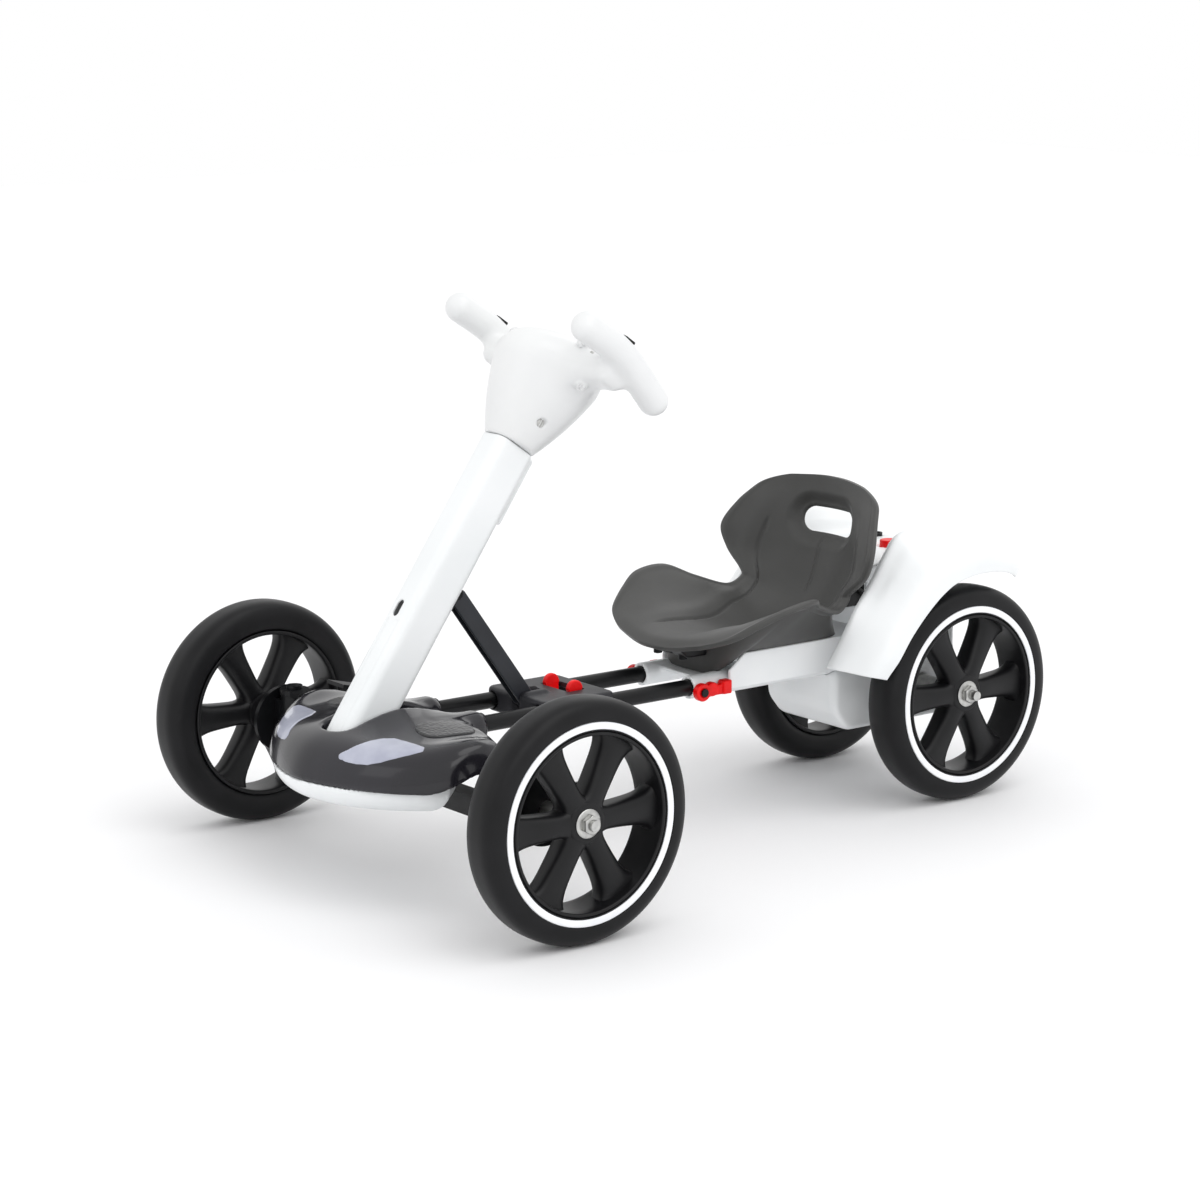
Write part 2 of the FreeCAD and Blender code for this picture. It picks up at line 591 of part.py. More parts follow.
def under_surface(drop, depth):
    """Everything within depth below the shell's top surface, itself lowered by drop."""
    rows = []
    for i in range(31):
        x = -80 + i * (NOSE_REACH + 100) / 30
        sides = [-190 + j * 380 / 40 for j in range(41)]
        rows.append([Vec(x, y, shell_height(x, y) - drop) for y in sides])
    surface = Part.BSplineSurface()
    surface.interpolate(rows)
    return surface.toShape().extrude(Vec(0, 0, -depth))


def upper_shell():
    """Dark top shell with the channel for the column and the openings for the sockets."""
    outer = Part.Face(closed_outline(upper_outline(), SEAM_Z)).extrude(Vec(0, 0, 90))
    outer = outer.common(under_surface(0, 120))
    hollow = Part.Face(closed_outline(upper_outline(SHELL_WALL), SEAM_Z - 1)).extrude(Vec(0, 0, 90))
    hollow = hollow.common(under_surface(SHELL_WALL, 120))
    solid = outer.cut(hollow)
    back = plate_xz([(74, 90), (70, SEAM_Z), (26, 147), (-90, 147), (-90, 90)], -200, 200)
    slot_y = COLUMN_WIDE / 2 + 1.5
    slot = box((-90, FOLD_X + 43), (-slot_y, slot_y), (100, 260))
    rounded = rod(Vec(FOLD_X + 43, 0, 100), Vec(FOLD_X + 43, 0, 260), 1.0)
    solid = solid.cut([back, slot, rounded])
    for side in SIDES.values():
        start = Vec(-100, side * RAIL_Y, RAIL_Z)
        solid = solid.cut(rod(start, start.add(Vec(100 + SOCKET_X[1], 0, 0)), SOCKET_R))
    solid = solid.cut(box((-62, SOCKET_X[1] + 1), (-RAIL_Y - 4, RAIL_Y + 4), (100, RAIL_Z - 4)))
    for piece in (light_panel(3.0), foot_pad(3.0)):
        solid = solid.cut([piece, mirrored(piece)])
    return largest(solid)


def largest(shape):
    return max(shape.Solids, key=lambda s: s.Volume)


def inlay(outline, proud, thick):
    """A plate that follows the shell's top over an outline, proud of it and thick below."""
    face = plate_xy(outline, 100, 230)
    top = under_surface(-proud, 120)
    return face.common(top).cut(under_surface(thick - proud, 140)).Solids[0]


def light_panel(proud=0.4):
    """Left pale panel beside the column."""
    outline = [(121, 46), (100, 60), (76, 76), (70, 102), (65, 130), (84, 112), (104, 94), (116, 74)]
    return inlay(outline, proud, proud + 1.5)


def foot_pad(proud=0.8):
    """Left textured pad where a foot rests."""
    outline = [(38, 60), (2, 60), (-24, 66), (-18, 106), (8, 108), (42, 100)]
    return inlay(outline, proud, proud + 1.2)


def lower_shell():
    """Pale pan under the nose."""
    low = closed_outline(pan_outline(20.0), PAN_BOTTOM)
    high = closed_outline(pan_outline(0.8), SEAM_Z - 0.2)
    outer = Part.makeLoft([low, high], True, True)
    inner_low = closed_outline(pan_outline(24.0), PAN_BOTTOM + SHELL_WALL)
    inner_high = closed_outline(pan_outline(4.5), SEAM_Z + 0.2)
    inner = Part.makeLoft([inner_low, inner_high], True, True)
    inner = inner.cut(box((0, 16 + SHELL_WALL), (-200, 200), (90, 200)))
    reach = math.sin(math.radians(STEER_LIMIT)) * STEER_ARM + 10
    swing = box((0, 16 + 2 * SHELL_WALL), (-reach, reach), (ARM_Z - 5, SEAM_Z + 5))
    return largest(outer.cut([inner, swing]))


def pedal_point():
    """Hinge of the accelerator pedal, on the right footrest."""
    return Vec(-16, -82, shell_height(-16, -82) + 7)


def pedal_bracket():
    """Two lugs with the pedal's pin, standing on the right footrest."""
    hinge = pedal_point()
    foot_z = shell_height(hinge.x, hinge.y) - 6
    lug = box((hinge.x - 5, hinge.x + 5), (hinge.y + 13, hinge.y + 17), (foot_z, hinge.z + 5))
    other = moved(lug, 0, -30, 0)
    pin = rod(Vec(hinge.x, hinge.y - 17, hinge.z), Vec(hinge.x, hinge.y + 17, hinge.z), 2.0)
    solid = lug.fuse([other, pin]).cut(under_surface(-0.8, 60))
    return largest(solid.removeSplitter())


def accelerator_pedal():
    """Plate that the right foot presses, rising forwards from its hinge."""
    hinge = pedal_point()
    barrel = rod(Vec(hinge.x, hinge.y - 12.5, hinge.z), Vec(hinge.x, hinge.y + 12.5, hinge.z), 4.5)
    plate = box((hinge.x, hinge.x + 54), (hinge.y - 16, hinge.y + 16), (hinge.z + 0.5, hinge.z + 4.5))
    relief = box((hinge.x - 8, hinge.x + 7), (hinge.y - 18, hinge.y + 18), (hinge.z - 8, hinge.z + 8))
    plate = plate.cut(relief)
    neck = box((hinge.x, hinge.x + 9), (hinge.y - 12.5, hinge.y + 12.5), (hinge.z + 0.5, hinge.z + 4.5))
    solid = barrel.fuse([plate, neck])
    solid = solid.cut(rod(Vec(hinge.x, hinge.y - 20, hinge.z), Vec(hinge.x, hinge.y + 20, hinge.z), 2.0 + RUN))
    solid.rotate(hinge, Vec(0, 1, 0), -14)
    return largest(solid.removeSplitter())


# ---- column, strut and bracket -------------------------------------------------------------------------
def column_place(along, across=0.0, side=0.0):
    """A point given along the column from the fold pivot, in front of its middle and to the left."""
    tilt = math.radians(COLUMN_TILT)
    return Vec(FOLD_X - along * math.cos(tilt) + across * math.sin(tilt), side,
               FOLD_Z + along * math.sin(tilt) + across * math.cos(tilt))


def tilt_up(shape):
    """From the upright drawing position, with the pivot at the origin, to the column's lean."""
    copy = shape.copy()
    copy.rotate(Vec(0, 0, 0), Vec(0, 1, 0), COLUMN_TILT - 90)
    copy.translate(Vec(FOLD_X, 0, FOLD_Z))
    return copy


def rounded_bar(deep, wide, corner, low, high):
    """An upright bar of rounded rectangular section."""
    bar = box((-deep / 2, deep / 2), (-wide / 2, wide / 2), (low, high))
    upright = [e for e in bar.Edges if abs(e.Vertexes[0].Z - e.Vertexes[1].Z) > 1]
    return bar.makeFillet(corner, upright)


def column_shell():
    """Hollow column with the fold pivot's holes, a slot low behind and the lugs of the strut pivot."""
    outer = rounded_bar(COLUMN_DEEP, COLUMN_WIDE, COLUMN_CORNER, -COLUMN_FOOT, COLUMN_LONG)
    inner = rounded_bar(COLUMN_DEEP - 2 * COLUMN_WALL, COLUMN_WIDE - 2 * COLUMN_WALL,
                        COLUMN_CORNER - COLUMN_WALL, -COLUMN_FOOT - 1, COLUMN_LONG - 12)
    top_bore = rod(Vec(0, 0, COLUMN_LONG - 14), Vec(0, 0, COLUMN_LONG + 1), SHAFT_R + RUN)
    web_x, web_y = COLUMN_DEEP / 2 - 1, COLUMN_WIDE / 2 - 1
    low_web = box((-web_x, web_x), (-web_y, web_y), (34, 42))
    low_bore = rod(Vec(0, 0, 30), Vec(0, 0, 50), SHAFT_R + RUN)
    slot = box((-COLUMN_DEEP, -COLUMN_DEEP / 2 + 2 * COLUMN_WALL), (-14, 14), (-COLUMN_FOOT - 1, 10))
    pivots = rod(Vec(0, -COLUMN_WIDE, 0), Vec(0, COLUMN_WIDE, 0), KINGPIN_R + RUN)
    step = box((-COLUMN_DEEP / 2 - 6, -COLUMN_DEEP / 2 + 1), (-12, 12), (STRUT_AT + 86, COLUMN_LONG - 1))
    lug_y = STRUT_WIDE / 2 + GAP
    lug = box((-STRUT_OFF - 8, -COLUMN_DEEP / 2 + 1), (lug_y, lug_y + 3), (STRUT_AT - 9, STRUT_AT + 9))
    hole = rod(Vec(-STRUT_OFF, -30, STRUT_AT), Vec(-STRUT_OFF, 30, STRUT_AT), STRUT_PIN_R + RUN)
    pocket = box((-COLUMN_DEEP / 2 - 1, -COLUMN_DEEP / 2 + COLUMN_WALL + 1), (-lug_y, lug_y),
                 (STRUT_AT - 26, STRUT_AT + 16))
    window_x = (COLUMN_DEEP / 2 - COLUMN_WALL - 1, COLUMN_DEEP / 2 + 1)
    window = box(window_x, (-4, 4), (STRUT_AT - 44, STRUT_AT - 28))
    solid = outer.cut(inner).fuse([low_web, step, lug, mirrored(lug)])
    solid = solid.cut([top_bore, low_bore, slot, pivots, hole, pocket, window])
    return tilt_up(solid.removeSplitter())


def steering_shaft():
    """Steel shaft inside the column, with the ball of the steering joint at the fold pivot."""
    bar = rod(Vec(0, 0, 0), Vec(0, 0, COLUMN_LONG + 60), SHAFT_R)
    return tilt_up(bar.fuse(Part.makeSphere(SHAFT_R + 1, Vec(0, 0, 0))).removeSplitter())


def strut_top():
    return column_place(STRUT_AT, -STRUT_OFF)


def strut_foot():
    """Foot of the strut on the rails' level, behind its top."""
    top = strut_top()
    rise = top.z - STRUT_FOOT_Z
    return Vec(top.x - math.sqrt(STRUT_LONG ** 2 - rise ** 2), 0, STRUT_FOOT_Z)


def fold_strut():
    """U channel between the column and the slide bracket, open to the front."""
    foot = strut_foot()
    top = strut_top()
    half = STRUT_WIDE / 2
    bar = box((-STRUT_DEEP / 2, STRUT_DEEP / 2), (-half, half), (-8, STRUT_LONG + 8))
    channel = box((-STRUT_DEEP / 2 + STRUT_WALL, STRUT_DEEP), (-half + STRUT_WALL, half - STRUT_WALL),
                  (-20, STRUT_LONG + 20))
    ends = rod(Vec(0, -half, 0), Vec(0, half, 0), STRUT_END_R)
    ends = ends.fuse(rod(Vec(0, -half, STRUT_LONG), Vec(0, half, STRUT_LONG), STRUT_END_R))
    keep = box((-20, 20), (-half, half), (0, STRUT_LONG)).fuse(ends)
    solid = bar.cut(channel).common(keep)
    for z in (0, STRUT_LONG):
        solid = solid.cut(rod(Vec(0, -20, z), Vec(0, 20, z), STRUT_PIN_R))
    lean = math.degrees(math.atan2(top.x - foot.x, top.z - foot.z))
    solid.rotate(Vec(0, 0, 0), Vec(0, 1, 0), lean)
    return moved(solid.removeSplitter(), foot.x, 0, foot.z)


def strut_pins():
    """Pins through the strut's two ends, reaching into the lugs beside them."""
    reach = STRUT_WIDE / 2 + GAP + 3
    pins = []
    for centre in (strut_foot(), strut_top()):
        pins.append(rod(centre.add(Vec(0, -reach, 0)), centre.add(Vec(0, reach, 0)), STRUT_PIN_R))
    return Part.makeCompound(pins)


def bracket_front():
    return strut_foot().x + BRACKET_AHEAD


def slide_bracket():
    """Saddle that slides on both rails, with ears for the strut's foot and a slot for the release tabs."""
    front = bracket_front()
    back = front - BRACKET_LONG
    low = RAIL_Z - RAIL_R - 4
    high = RAIL_Z + RAIL_R + BRACKET_TOP
    half = RAIL_Y + RAIL_R + 4
    solid = box((back, front), (-half, half), (low, high))
    corners = [e for e in solid.Edges if abs(e.Vertexes[0].Z - e.Vertexes[1].Z) > 1]
    solid = solid.makeFillet(8, corners)
    under_y = RAIL_Y - RAIL_R - 3
    under = box((back + 5, front - 26), (-under_y, under_y), (low - 1, high - BRACKET_TOP))
    foot = strut_foot()
    ear_y = STRUT_WIDE / 2 + GAP
    mouth = box((foot.x - 22, front + 1), (-ear_y, ear_y), (low - 1, high + 1))
    slot_y = TAB_Y + TAB_T / 2 + 1
    slot_x = (foot.x - TAB_BACK - TAB_R - 1, foot.x - TAB_BACK + TAB_R + 1)
    slot = box(slot_x, (-slot_y, slot_y), (high - BRACKET_TOP - 1, high + 1))
    solid = solid.cut([under, mouth, slot])
    pocket = box((foot.x - PIN_POCKET_X, foot.x + STRUT_PIN_R + GAP), (ear_y - 1, ear_y + 4.5),
                 (foot.z - PIN_POCKET_Z, foot.z + PIN_POCKET_Z))
    solid = solid.cut([pocket, mirrored(pocket)])
    for side in SIDES.values():
        start = Vec(back - 1, side * RAIL_Y, RAIL_Z)
        solid = solid.cut(rod(start, start.add(Vec(BRACKET_LONG + 2, 0, 0)), RAIL_R + RUN))
    return solid.removeSplitter()


def release_tab():
    """Left pinch tab: a half disc above the bracket with a tongue in its slot."""
    x = strut_foot().x - TAB_BACK
    plate_top = RAIL_Z + RAIL_R + BRACKET_TOP
    centre = Vec(x, TAB_Y - TAB_T / 2, plate_top)
    disc = rod(centre, centre.add(Vec(0, TAB_T, 0)), TAB_R)
    disc = disc.common(box((x - 20, x + 20), (0, 60), (plate_top + 0.4, plate_top + 20)))
    tongue_y = (TAB_Y - TAB_T / 2, TAB_Y + TAB_T / 2)
    tongue = box((x - TAB_R + 1, x + TAB_R - 1), tongue_y, (plate_top - 12, plate_top + 1))
    return disc.fuse(tongue).removeSplitter()


# ---- yoke ----------------------------------------------------------------------------------------------
def yoke_place(shape):
    return tilt_up(moved(shape, 0, 0, COLUMN_LONG))


def funnel(inset):
    """Hub of the yoke as a solid of revolution, inset by a wall's thickness."""
    points = [Vec(r - inset, 0, z) for z, r in YOKE_PROFILE]
    top = Vec(0, 0, YOKE_TOP - inset)
    low_z = GAP + (inset if inset else 0)
    foot = Vec(YOKE_PROFILE[0][1] - inset, 0, low_z)
    side = spline([foot] + points[1:] + [Vec(24, 0, YOKE_TOP - 4 - inset), top])
    centre = Vec(0, 0, low_z)
    floor, axis = Part.LineSegment(centre, foot), Part.LineSegment(top, centre)
    wire = Part.Wire([floor.toShape(), side, axis.toShape()])
    return Part.Face(wire).revolve(Vec(0, 0, 0), Vec(0, 0, 1), 360)


def grip():
    """Left grip: a round bar along its bent line with domed ends."""
    points = [Vec(x, GRIP_Y, z) for x, z in GRIP_LINE]
    pieces = [Part.makeSphere(GRIP_R, p) for p in points]
    for start, end in zip(points, points[1:]):
        pieces.append(rod(start, end, GRIP_R))
    arm = box((-ARM_HALF[0], ARM_HALF[0]), (30, GRIP_Y - 2), (-ARM_HALF[1], ARM_HALF[1]))
    long_edges = [e for e in arm.Edges if abs(e.Vertexes[0].Y - e.Vertexes[1].Y) > 1]
    arm = arm.makeFillet(ARM_HALF[1] - 2, long_edges)
    arm = moved(arm, ARM_AT[0], 0, ARM_AT[1])
    return pieces[0].fuse(pieces[1:] + [arm])


def yoke_body():
    """Whole moulding before it is parted: hub, arms and grips, hollow in the hub."""
    body = funnel(0).fuse([grip(), mirrored(grip())])
    socket = rod(Vec(0, 0, GAP), Vec(0, 0, 66), SHAFT_R + 4)
    body = body.cut(funnel(YOKE_WALL)).fuse(socket)
    body = body.cut(rod(Vec(0, 0, 0), Vec(0, 0, 60), SHAFT_R))
    for side in SIDES.values():
        body = body.cut(thumb_button_box(side, 0.3))
    return body.removeSplitter()


def yoke_half(sign):
    """Front or rear shell: the body parted along the plane through the grips."""
    space = box((0, 200) if sign > 0 else (-200, 0), (-200, 200), (-10, 200))
    half = yoke_body().common(space)
    return yoke_place(largest(half.cut(screw_heads())))


def thumb_button_box(side, clearance):
    """Space of a thumb button on the rider's face of a grip."""
    half = 9.0 + clearance
    top = GRIP_LINE[1][1] + GRIP_R + 1.5
    across = (side * GRIP_Y - 5 - clearance, side * GRIP_Y + 5 + clearance)
    return box((BUTTON_U - half, BUTTON_U + half), across, (top - 9 - clearance, top + 5))


def thumb_button(side):
    top = GRIP_LINE[1][1] + GRIP_R + 0.2
    cap = box((BUTTON_U - 9, BUTTON_U + 9), (side * GRIP_Y - 5, side * GRIP_Y + 5), (top - 5, top))
    upright = [e for e in cap.Edges if abs(e.Vertexes[0].Z - e.Vertexes[1].Z) > 1]
    return yoke_place(cap.makeFillet(3.5, upright))


def screw_heads():
    """Heads of the screws that hold the two shells together, sunk in the front one."""
    heads = []
    for side in SIDES.values():
        for x, y, z in SCREW_AT:
            heads.append(rod(Vec(x - 1.5, side * y, z), Vec(x + 1.5, side * y, z), 3.0))
    return Part.makeCompound(heads)


def yoke_screws():
    return yoke_place(screw_heads())


# ---- rear frame and drive, about the rear axle ---------------------------------------------------------
def rear_frame():
    """White frame: two sleeves on the rails, side walls, deck plate and axle plates."""
    sleeve = rod(Vec(SLEEVE_X[0], RAIL_Y, RAIL_Z), Vec(SLEEVE_X[1], RAIL_Y, RAIL_Z), SLEEVE_R)
    collar = rod(Vec(SLEEVE_X[1] - 1, RAIL_Y, RAIL_Z), Vec(LEVER_X + 6, RAIL_Y, RAIL_Z), SLEEVE_R)
    wall = plate_xz([(SLEEVE_X[0], SIDE_Z[0]), (FRAME_FRONT, SIDE_Z[0]), (FRAME_FRONT, RAIL_Z + 16),
                     (FRAME_FRONT - 22, SIDE_Z[1]), (SLEEVE_X[0], SIDE_Z[1])], SIDE_Y - SIDE_T, SIDE_Y)
    link = box((SLEEVE_X[0], FRAME_FRONT), (RAIL_Y + 8, SIDE_Y - SIDE_T + 1), (RAIL_Z - 4, RAIL_Z + 4))
    half = sleeve.fuse([collar, wall, link])
    deck = box((SLEEVE_X[0], FRAME_FRONT - 22), (-SIDE_Y + 1, SIDE_Y - 1), (SIDE_Z[1] - 8, SIDE_Z[1] - 4))
    web = box((FRAME_FRONT - 60, SLEEVE_X[1]), (-RAIL_Y, RAIL_Y), (RAIL_Z + 4, RAIL_Z + 8))
    back = box((-50, SLEEVE_X[0] + 4), (-SIDE_Y, SIDE_Y), (RAIL_Z - 6, RAIL_Z - 2))
    cheek = box((-50, SLEEVE_X[0] + 4), (SIDE_Y - SIDE_T, SIDE_Y), (RAIL_Z - 6, SIDE_Z[1]))
    solid = half.fuse([mirrored(half), deck, web, back, cheek, mirrored(cheek)])
    bore = rod(Vec(SLEEVE_X[1] - 196, RAIL_Y, RAIL_Z), Vec(LEVER_X + 7, RAIL_Y, RAIL_Z), RAIL_R + RUN)
    pin = rod(Vec(LEVER_X, RAIL_Y + RAIL_R + 1, RAIL_Z - 3), Vec(LEVER_X, SIDE_Y, RAIL_Z - 3), LEVER_PIN_R)
    solid = solid.cut([bore, mirrored(bore), pin, mirrored(pin)])
    for x, y in seat_bolt_points():
        solid = solid.cut(rod(Vec(x, y, SIDE_Z[1] - 20), Vec(x, y, SIDE_Z[1]), 3.0))
    return largest(solid.removeSplitter())


def seat_bolt_points():
    return [(x, y) for x in (FRAME_FRONT - 40, SLEEVE_X[0] + 80) for y in (-24.0, 24.0)]


def clamp_lever():
    """Left red lever beside the sleeve's mouth, its arm pointing back."""
    y = RAIL_Y + SLEEVE_R + 0.5
    pivot = Vec(LEVER_X, y, RAIL_Z - 3)
    boss = rod(pivot, pivot.add(Vec(0, 9, 0)), 10.0)
    arm = box((LEVER_X - LEVER_LONG, LEVER_X), (y, y + 9), (RAIL_Z - 8, RAIL_Z + 5))
    lip = box((LEVER_X - LEVER_LONG, LEVER_X - LEVER_LONG + 12), (y, y + 12), (RAIL_Z - 8, RAIL_Z + 8))
    hole = rod(pivot, pivot.add(Vec(0, 12, 0)), LEVER_PIN_R + RUN)
    return boss.fuse([arm, lip]).cut(hole).removeSplitter()


def clamp_pin():
    """Left lever's pin, from the sleeve's wall out through the lever."""
    y = RAIL_Y + SLEEVE_R + 0.5
    pivot = Vec(LEVER_X, y, RAIL_Z - 3)
    pin = rod(Vec(LEVER_X, RAIL_Y + RAIL_R + 1, RAIL_Z - 3), pivot.add(Vec(0, 9.4, 0)), LEVER_PIN_R)
    head = rod(pivot.add(Vec(0, 9.4, 0)), pivot.add(Vec(0, 11, 0)), LEVER_PIN_R + 1.5)
    return pin.fuse(head).removeSplitter()


def motor_housing():
    """White box under the frame, with bosses for the axle bearings."""
    solid = box(HOUSING_X, (-SIDE_Y, SIDE_Y), HOUSING_Z)
    slope = plate_xz([(HOUSING_X[1] - 24, HOUSING_Z[0] - 1), (HOUSING_X[1] + 1, HOUSING_Z[0] - 1),
                      (HOUSING_X[1] + 1, HOUSING_Z[0] + 30)], -SIDE_Y - 1, SIDE_Y + 1)
    solid = solid.cut(slope)
    inside_y = SIDE_Y - HOUSING_WALL
    inside_z = (HOUSING_Z[0] + HOUSING_WALL, HOUSING_Z[1] - HOUSING_WALL)
    inside_x = (HOUSING_X[0] + HOUSING_WALL, HOUSING_X[1] - 2 * HOUSING_WALL)
    inside = box(inside_x, (-inside_y, inside_y), inside_z)
    inside = inside.cut(moved(slope, -2 * HOUSING_WALL, 0, HOUSING_WALL))
    solid = solid.cut(inside)
    for side in SIDES.values():
        sleeve = Vec(SLEEVE_X[0] - 1, side * RAIL_Y, RAIL_Z)
        solid = solid.cut(rod(sleeve, Vec(HOUSING_X[1] + 1, side * RAIL_Y, RAIL_Z), SLEEVE_R))
        start = Vec(0, side * (SIDE_Y - 9), WHEEL_R)
        solid = solid.fuse(rod(start, Vec(0, side * SIDE_Y, WHEEL_R), 18.0))
        solid = solid.cut(rod(start, Vec(0, side * (SIDE_Y - 1), WHEEL_R), 14.0))
        solid = solid.cut(rod(start, Vec(0, side * (SIDE_Y + 1), WHEEL_R), AXLE_R + 2))
    return largest(solid.removeSplitter())


def axle_bearings():
    low = Vec(0, SIDE_Y - 9, WHEEL_R)
    return pair(ring(low, Vec(0, SIDE_Y - 1, WHEEL_R), 14.0, AXLE_R + RUN))


def rear_hub_y():
    return REAR_TYRE_OUT - TYRE_WIDTH + HUB_OUT


def rear_axle():
    """One live axle through both rear wheels, with a collar beside each bearing."""
    end = rear_hub_y() + WASHER_T + NUT_H
    bar = rod(Vec(0, -end, WHEEL_R), Vec(0, end, WHEEL_R), AXLE_R)
    stud = rod(Vec(0, end, WHEEL_R), Vec(0, end + REAR_END, WHEEL_R), AXLE_END_R)
    bar = bar.fuse([stud, mirrored(stud)])
    collar_end = Vec(0, REAR_TYRE_OUT - TYRE_WIDTH + HUB_IN, WHEEL_R)
    collar = rod(Vec(0, SIDE_Y + 0.4, WHEEL_R), collar_end, AXLE_R + 4)
    return bar.fuse([collar, mirrored(collar)]).removeSplitter()


def tooth_half_angle(teeth, radius):
    """Half the angle that an involute tooth fills at a radius, 20 degree pressure angle, with backlash."""
    pitch = GEAR_MODULE * teeth / 2
    base = pitch * math.cos(math.radians(20))
    at_pitch = math.tan(math.radians(20)) - math.radians(20)
    if radius <= base:
        here = 0.0
    else:
        lean = math.acos(base / radius)
        here = math.tan(lean) - lean
    return 0.92 * math.pi / (2 * teeth) + at_pitch - here


def spur_gear(teeth, width, bore, turn):
    """Spur gear about the Y axis, from y = 0, with a tooth at the angle turn from +X."""
    pitch = GEAR_MODULE * teeth / 2
    root = pitch - 1.25 * GEAR_MODULE
    tip = pitch + 0.95 * GEAR_MODULE
    radii = [root + (tip - root) * n / 4 for n in range(5)]
    points = []
    for n in range(teeth):
        middle = turn + 2 * math.pi * n / teeth
        for radius in radii:
            points.append((radius, middle - tooth_half_angle(teeth, radius)))
        for radius in reversed(radii):
            points.append((radius, middle + tooth_half_angle(teeth, radius)))
    outline = [(r * math.cos(a), r * math.sin(a)) for r, a in points]
    return plate_xz(outline, 0, width).cut(rod(Vec(0, -1, 0), Vec(0, width + 1, 0), bore))


def pinion_x():
    return GEAR_MODULE * (GEAR_TEETH + PINION_TEETH) / 2


def axle_gear():
    gear = spur_gear(GEAR_TEETH, GEAR_W, AXLE_R, 0.0)
    return moved(gear, 0, GEAR_Y, WHEEL_R)


def motor_pinion():
    """Pinion with the motor's shaft, meshed in front of the axle gear."""
    gap_turn = math.pi + math.pi / PINION_TEETH
    pinion = spur_gear(PINION_TEETH, GEAR_W + 2, 2.0, gap_turn)
    shaft = rod(Vec(0, -2, 0), Vec(0, GEAR_W + 14, 0), 2.0)
    return moved(pinion.fuse(shaft).removeSplitter(), pinion_x(), GEAR_Y - 1, WHEEL_R)


def motor():
    """Motor can with its front plate, bored for the pinion's shaft."""
    start = Vec(pinion_x(), GEAR_Y + GEAR_W + 4, WHEEL_R)
    can = rod(start, start.add(Vec(0, 62, 0)), 18.0)
    return can.cut(rod(start.sub(Vec(0, 1, 0)), start.add(Vec(0, 11, 0)), 2.0 + RUN))


def battery():
    x = (pinion_x() + 22, HOUSING_X[1] - 14)
    return box(x, (-46, 46), (HOUSING_Z[0] + 28, RAIL_Z - SLEEVE_R - 1))


# ---- seat ----------------------------------------------------------------------------------------------
def seat_point(station, across):
    """A point on the seat's upper face; across runs from -1 on the right edge to 1 on the left."""
    x, z, half, rise, lean = station
    bowl = across * across * (1.6 - 0.6 * across * across)
    return Vec(x + lean * bowl, half * across, z + rise * bowl)


def seat_section(n, offset):
    """Edge across the seat at one station, moved off the upper face by offset."""
    station = SEAT_STATIONS[n]
    before = SEAT_STATIONS[max(n - 1, 0)]
    after = SEAT_STATIONS[min(n + 1, len(SEAT_STATIONS) - 1)]
    points = []
    for k in range(-6, 7):
        across = k / 6
        along = seat_point(after, across).sub(seat_point(before, across))
        over = seat_point(station, across + 0.05).sub(seat_point(station, across - 0.05))
        normal = over.cross(along)
        normal.normalize()
        points.append(seat_point(station, across).add(normal * offset))
    return points


def seat():
    """Moulded bucket seat with the hand hole and the foot that stands on the frame."""
    stations = range(len(SEAT_STATIONS))
    bucket = skin([seat_section(n, 0.0) for n in stations], [seat_section(n, SEAT_WALL) for n in stations])
    foot_z = SIDE_Z[1] - SIDE_T
    half, wall = SEAT_FOOT_HALF, SEAT_FOOT_WALL
    foot = box((SLEEVE_X[0] + 60, FRAME_FRONT - 24), (-half, half), (foot_z, 212))
    inner_y = (-half + wall, half - wall)
    foot = foot.cut(box((SLEEVE_X[0] + 60 + wall, FRAME_FRONT - 24 - wall), inner_y, (foot_z + wall, 214)))
    column = [(x, y) for x, y in seat_bolt_points()]
    for x, y in column:
        foot = foot.fuse(rod(Vec(x, y, foot_z), Vec(x, y, 207), 7.0))
    solid = bucket.fuse(foot)
    wide, high = HAND_HOLE_HALF
    end = rod(Vec(60, wide - high, HAND_HOLE_Z), Vec(160, wide - high, HAND_HOLE_Z), high)
    middle = box((60, 160), (high - wide, wide - high), (HAND_HOLE_Z - high, HAND_HOLE_Z + high))
    solid = solid.cut(end.fuse([mirrored(end), middle]))
    for x, y in column:
        solid = solid.cut(rod(Vec(x, y, foot_z - 1), Vec(x, y, foot_z + 9), 3.0))
    return largest(solid)


def seat_bolts():
    bolts = []
    for x, y in seat_bolt_points():
        shank = rod(Vec(x, y, SIDE_Z[1] - 12), Vec(x, y, SIDE_Z[1] + 4), 3.0)
        head = rod(Vec(x, y, SIDE_Z[1] - 12), Vec(x, y, SIDE_Z[1] - 8), 5.5)
        bolts.append(shank.fuse(head).removeSplitter())
    return Part.makeCompound(bolts)


# ---- rear cover ----------------------------------------------------------------------------------------
def polar(angle, radius, y):
    turn = math.radians(angle)
    return Vec(radius * math.cos(turn), y, WHEEL_R + radius * math.sin(turn))


def cover_section(station, inset):
    """Edge across the cover at one station, from the right lip over the deck to the left lip."""
    angle, deck, crest, lip, out_y = station
    shoulder = (crest + lip) / 2 + 12
    half = [(COVER_INNER_Y, deck), ((COVER_INNER_Y + COVER_CREST_Y) / 2, (deck + crest) / 2 + 1),
            (COVER_CREST_Y, crest), (COVER_CREST_Y + 0.55 * (out_y - COVER_CREST_Y), shoulder),
            (out_y - 1, (shoulder + lip) / 2 + 3)]
    left = []
    for y, radius in half:
        outwards = smooth(COVER_CREST_Y, out_y, y)
        left.append(polar(angle, radius - inset * (1 - 0.7 * outwards), y - inset * outwards))
    left.append(polar(angle, lip, out_y - inset))
    right = [Vec(p.x, -p.y, p.z) for p in reversed(left)]
    return right + [polar(angle, deck - inset, 0)] + left


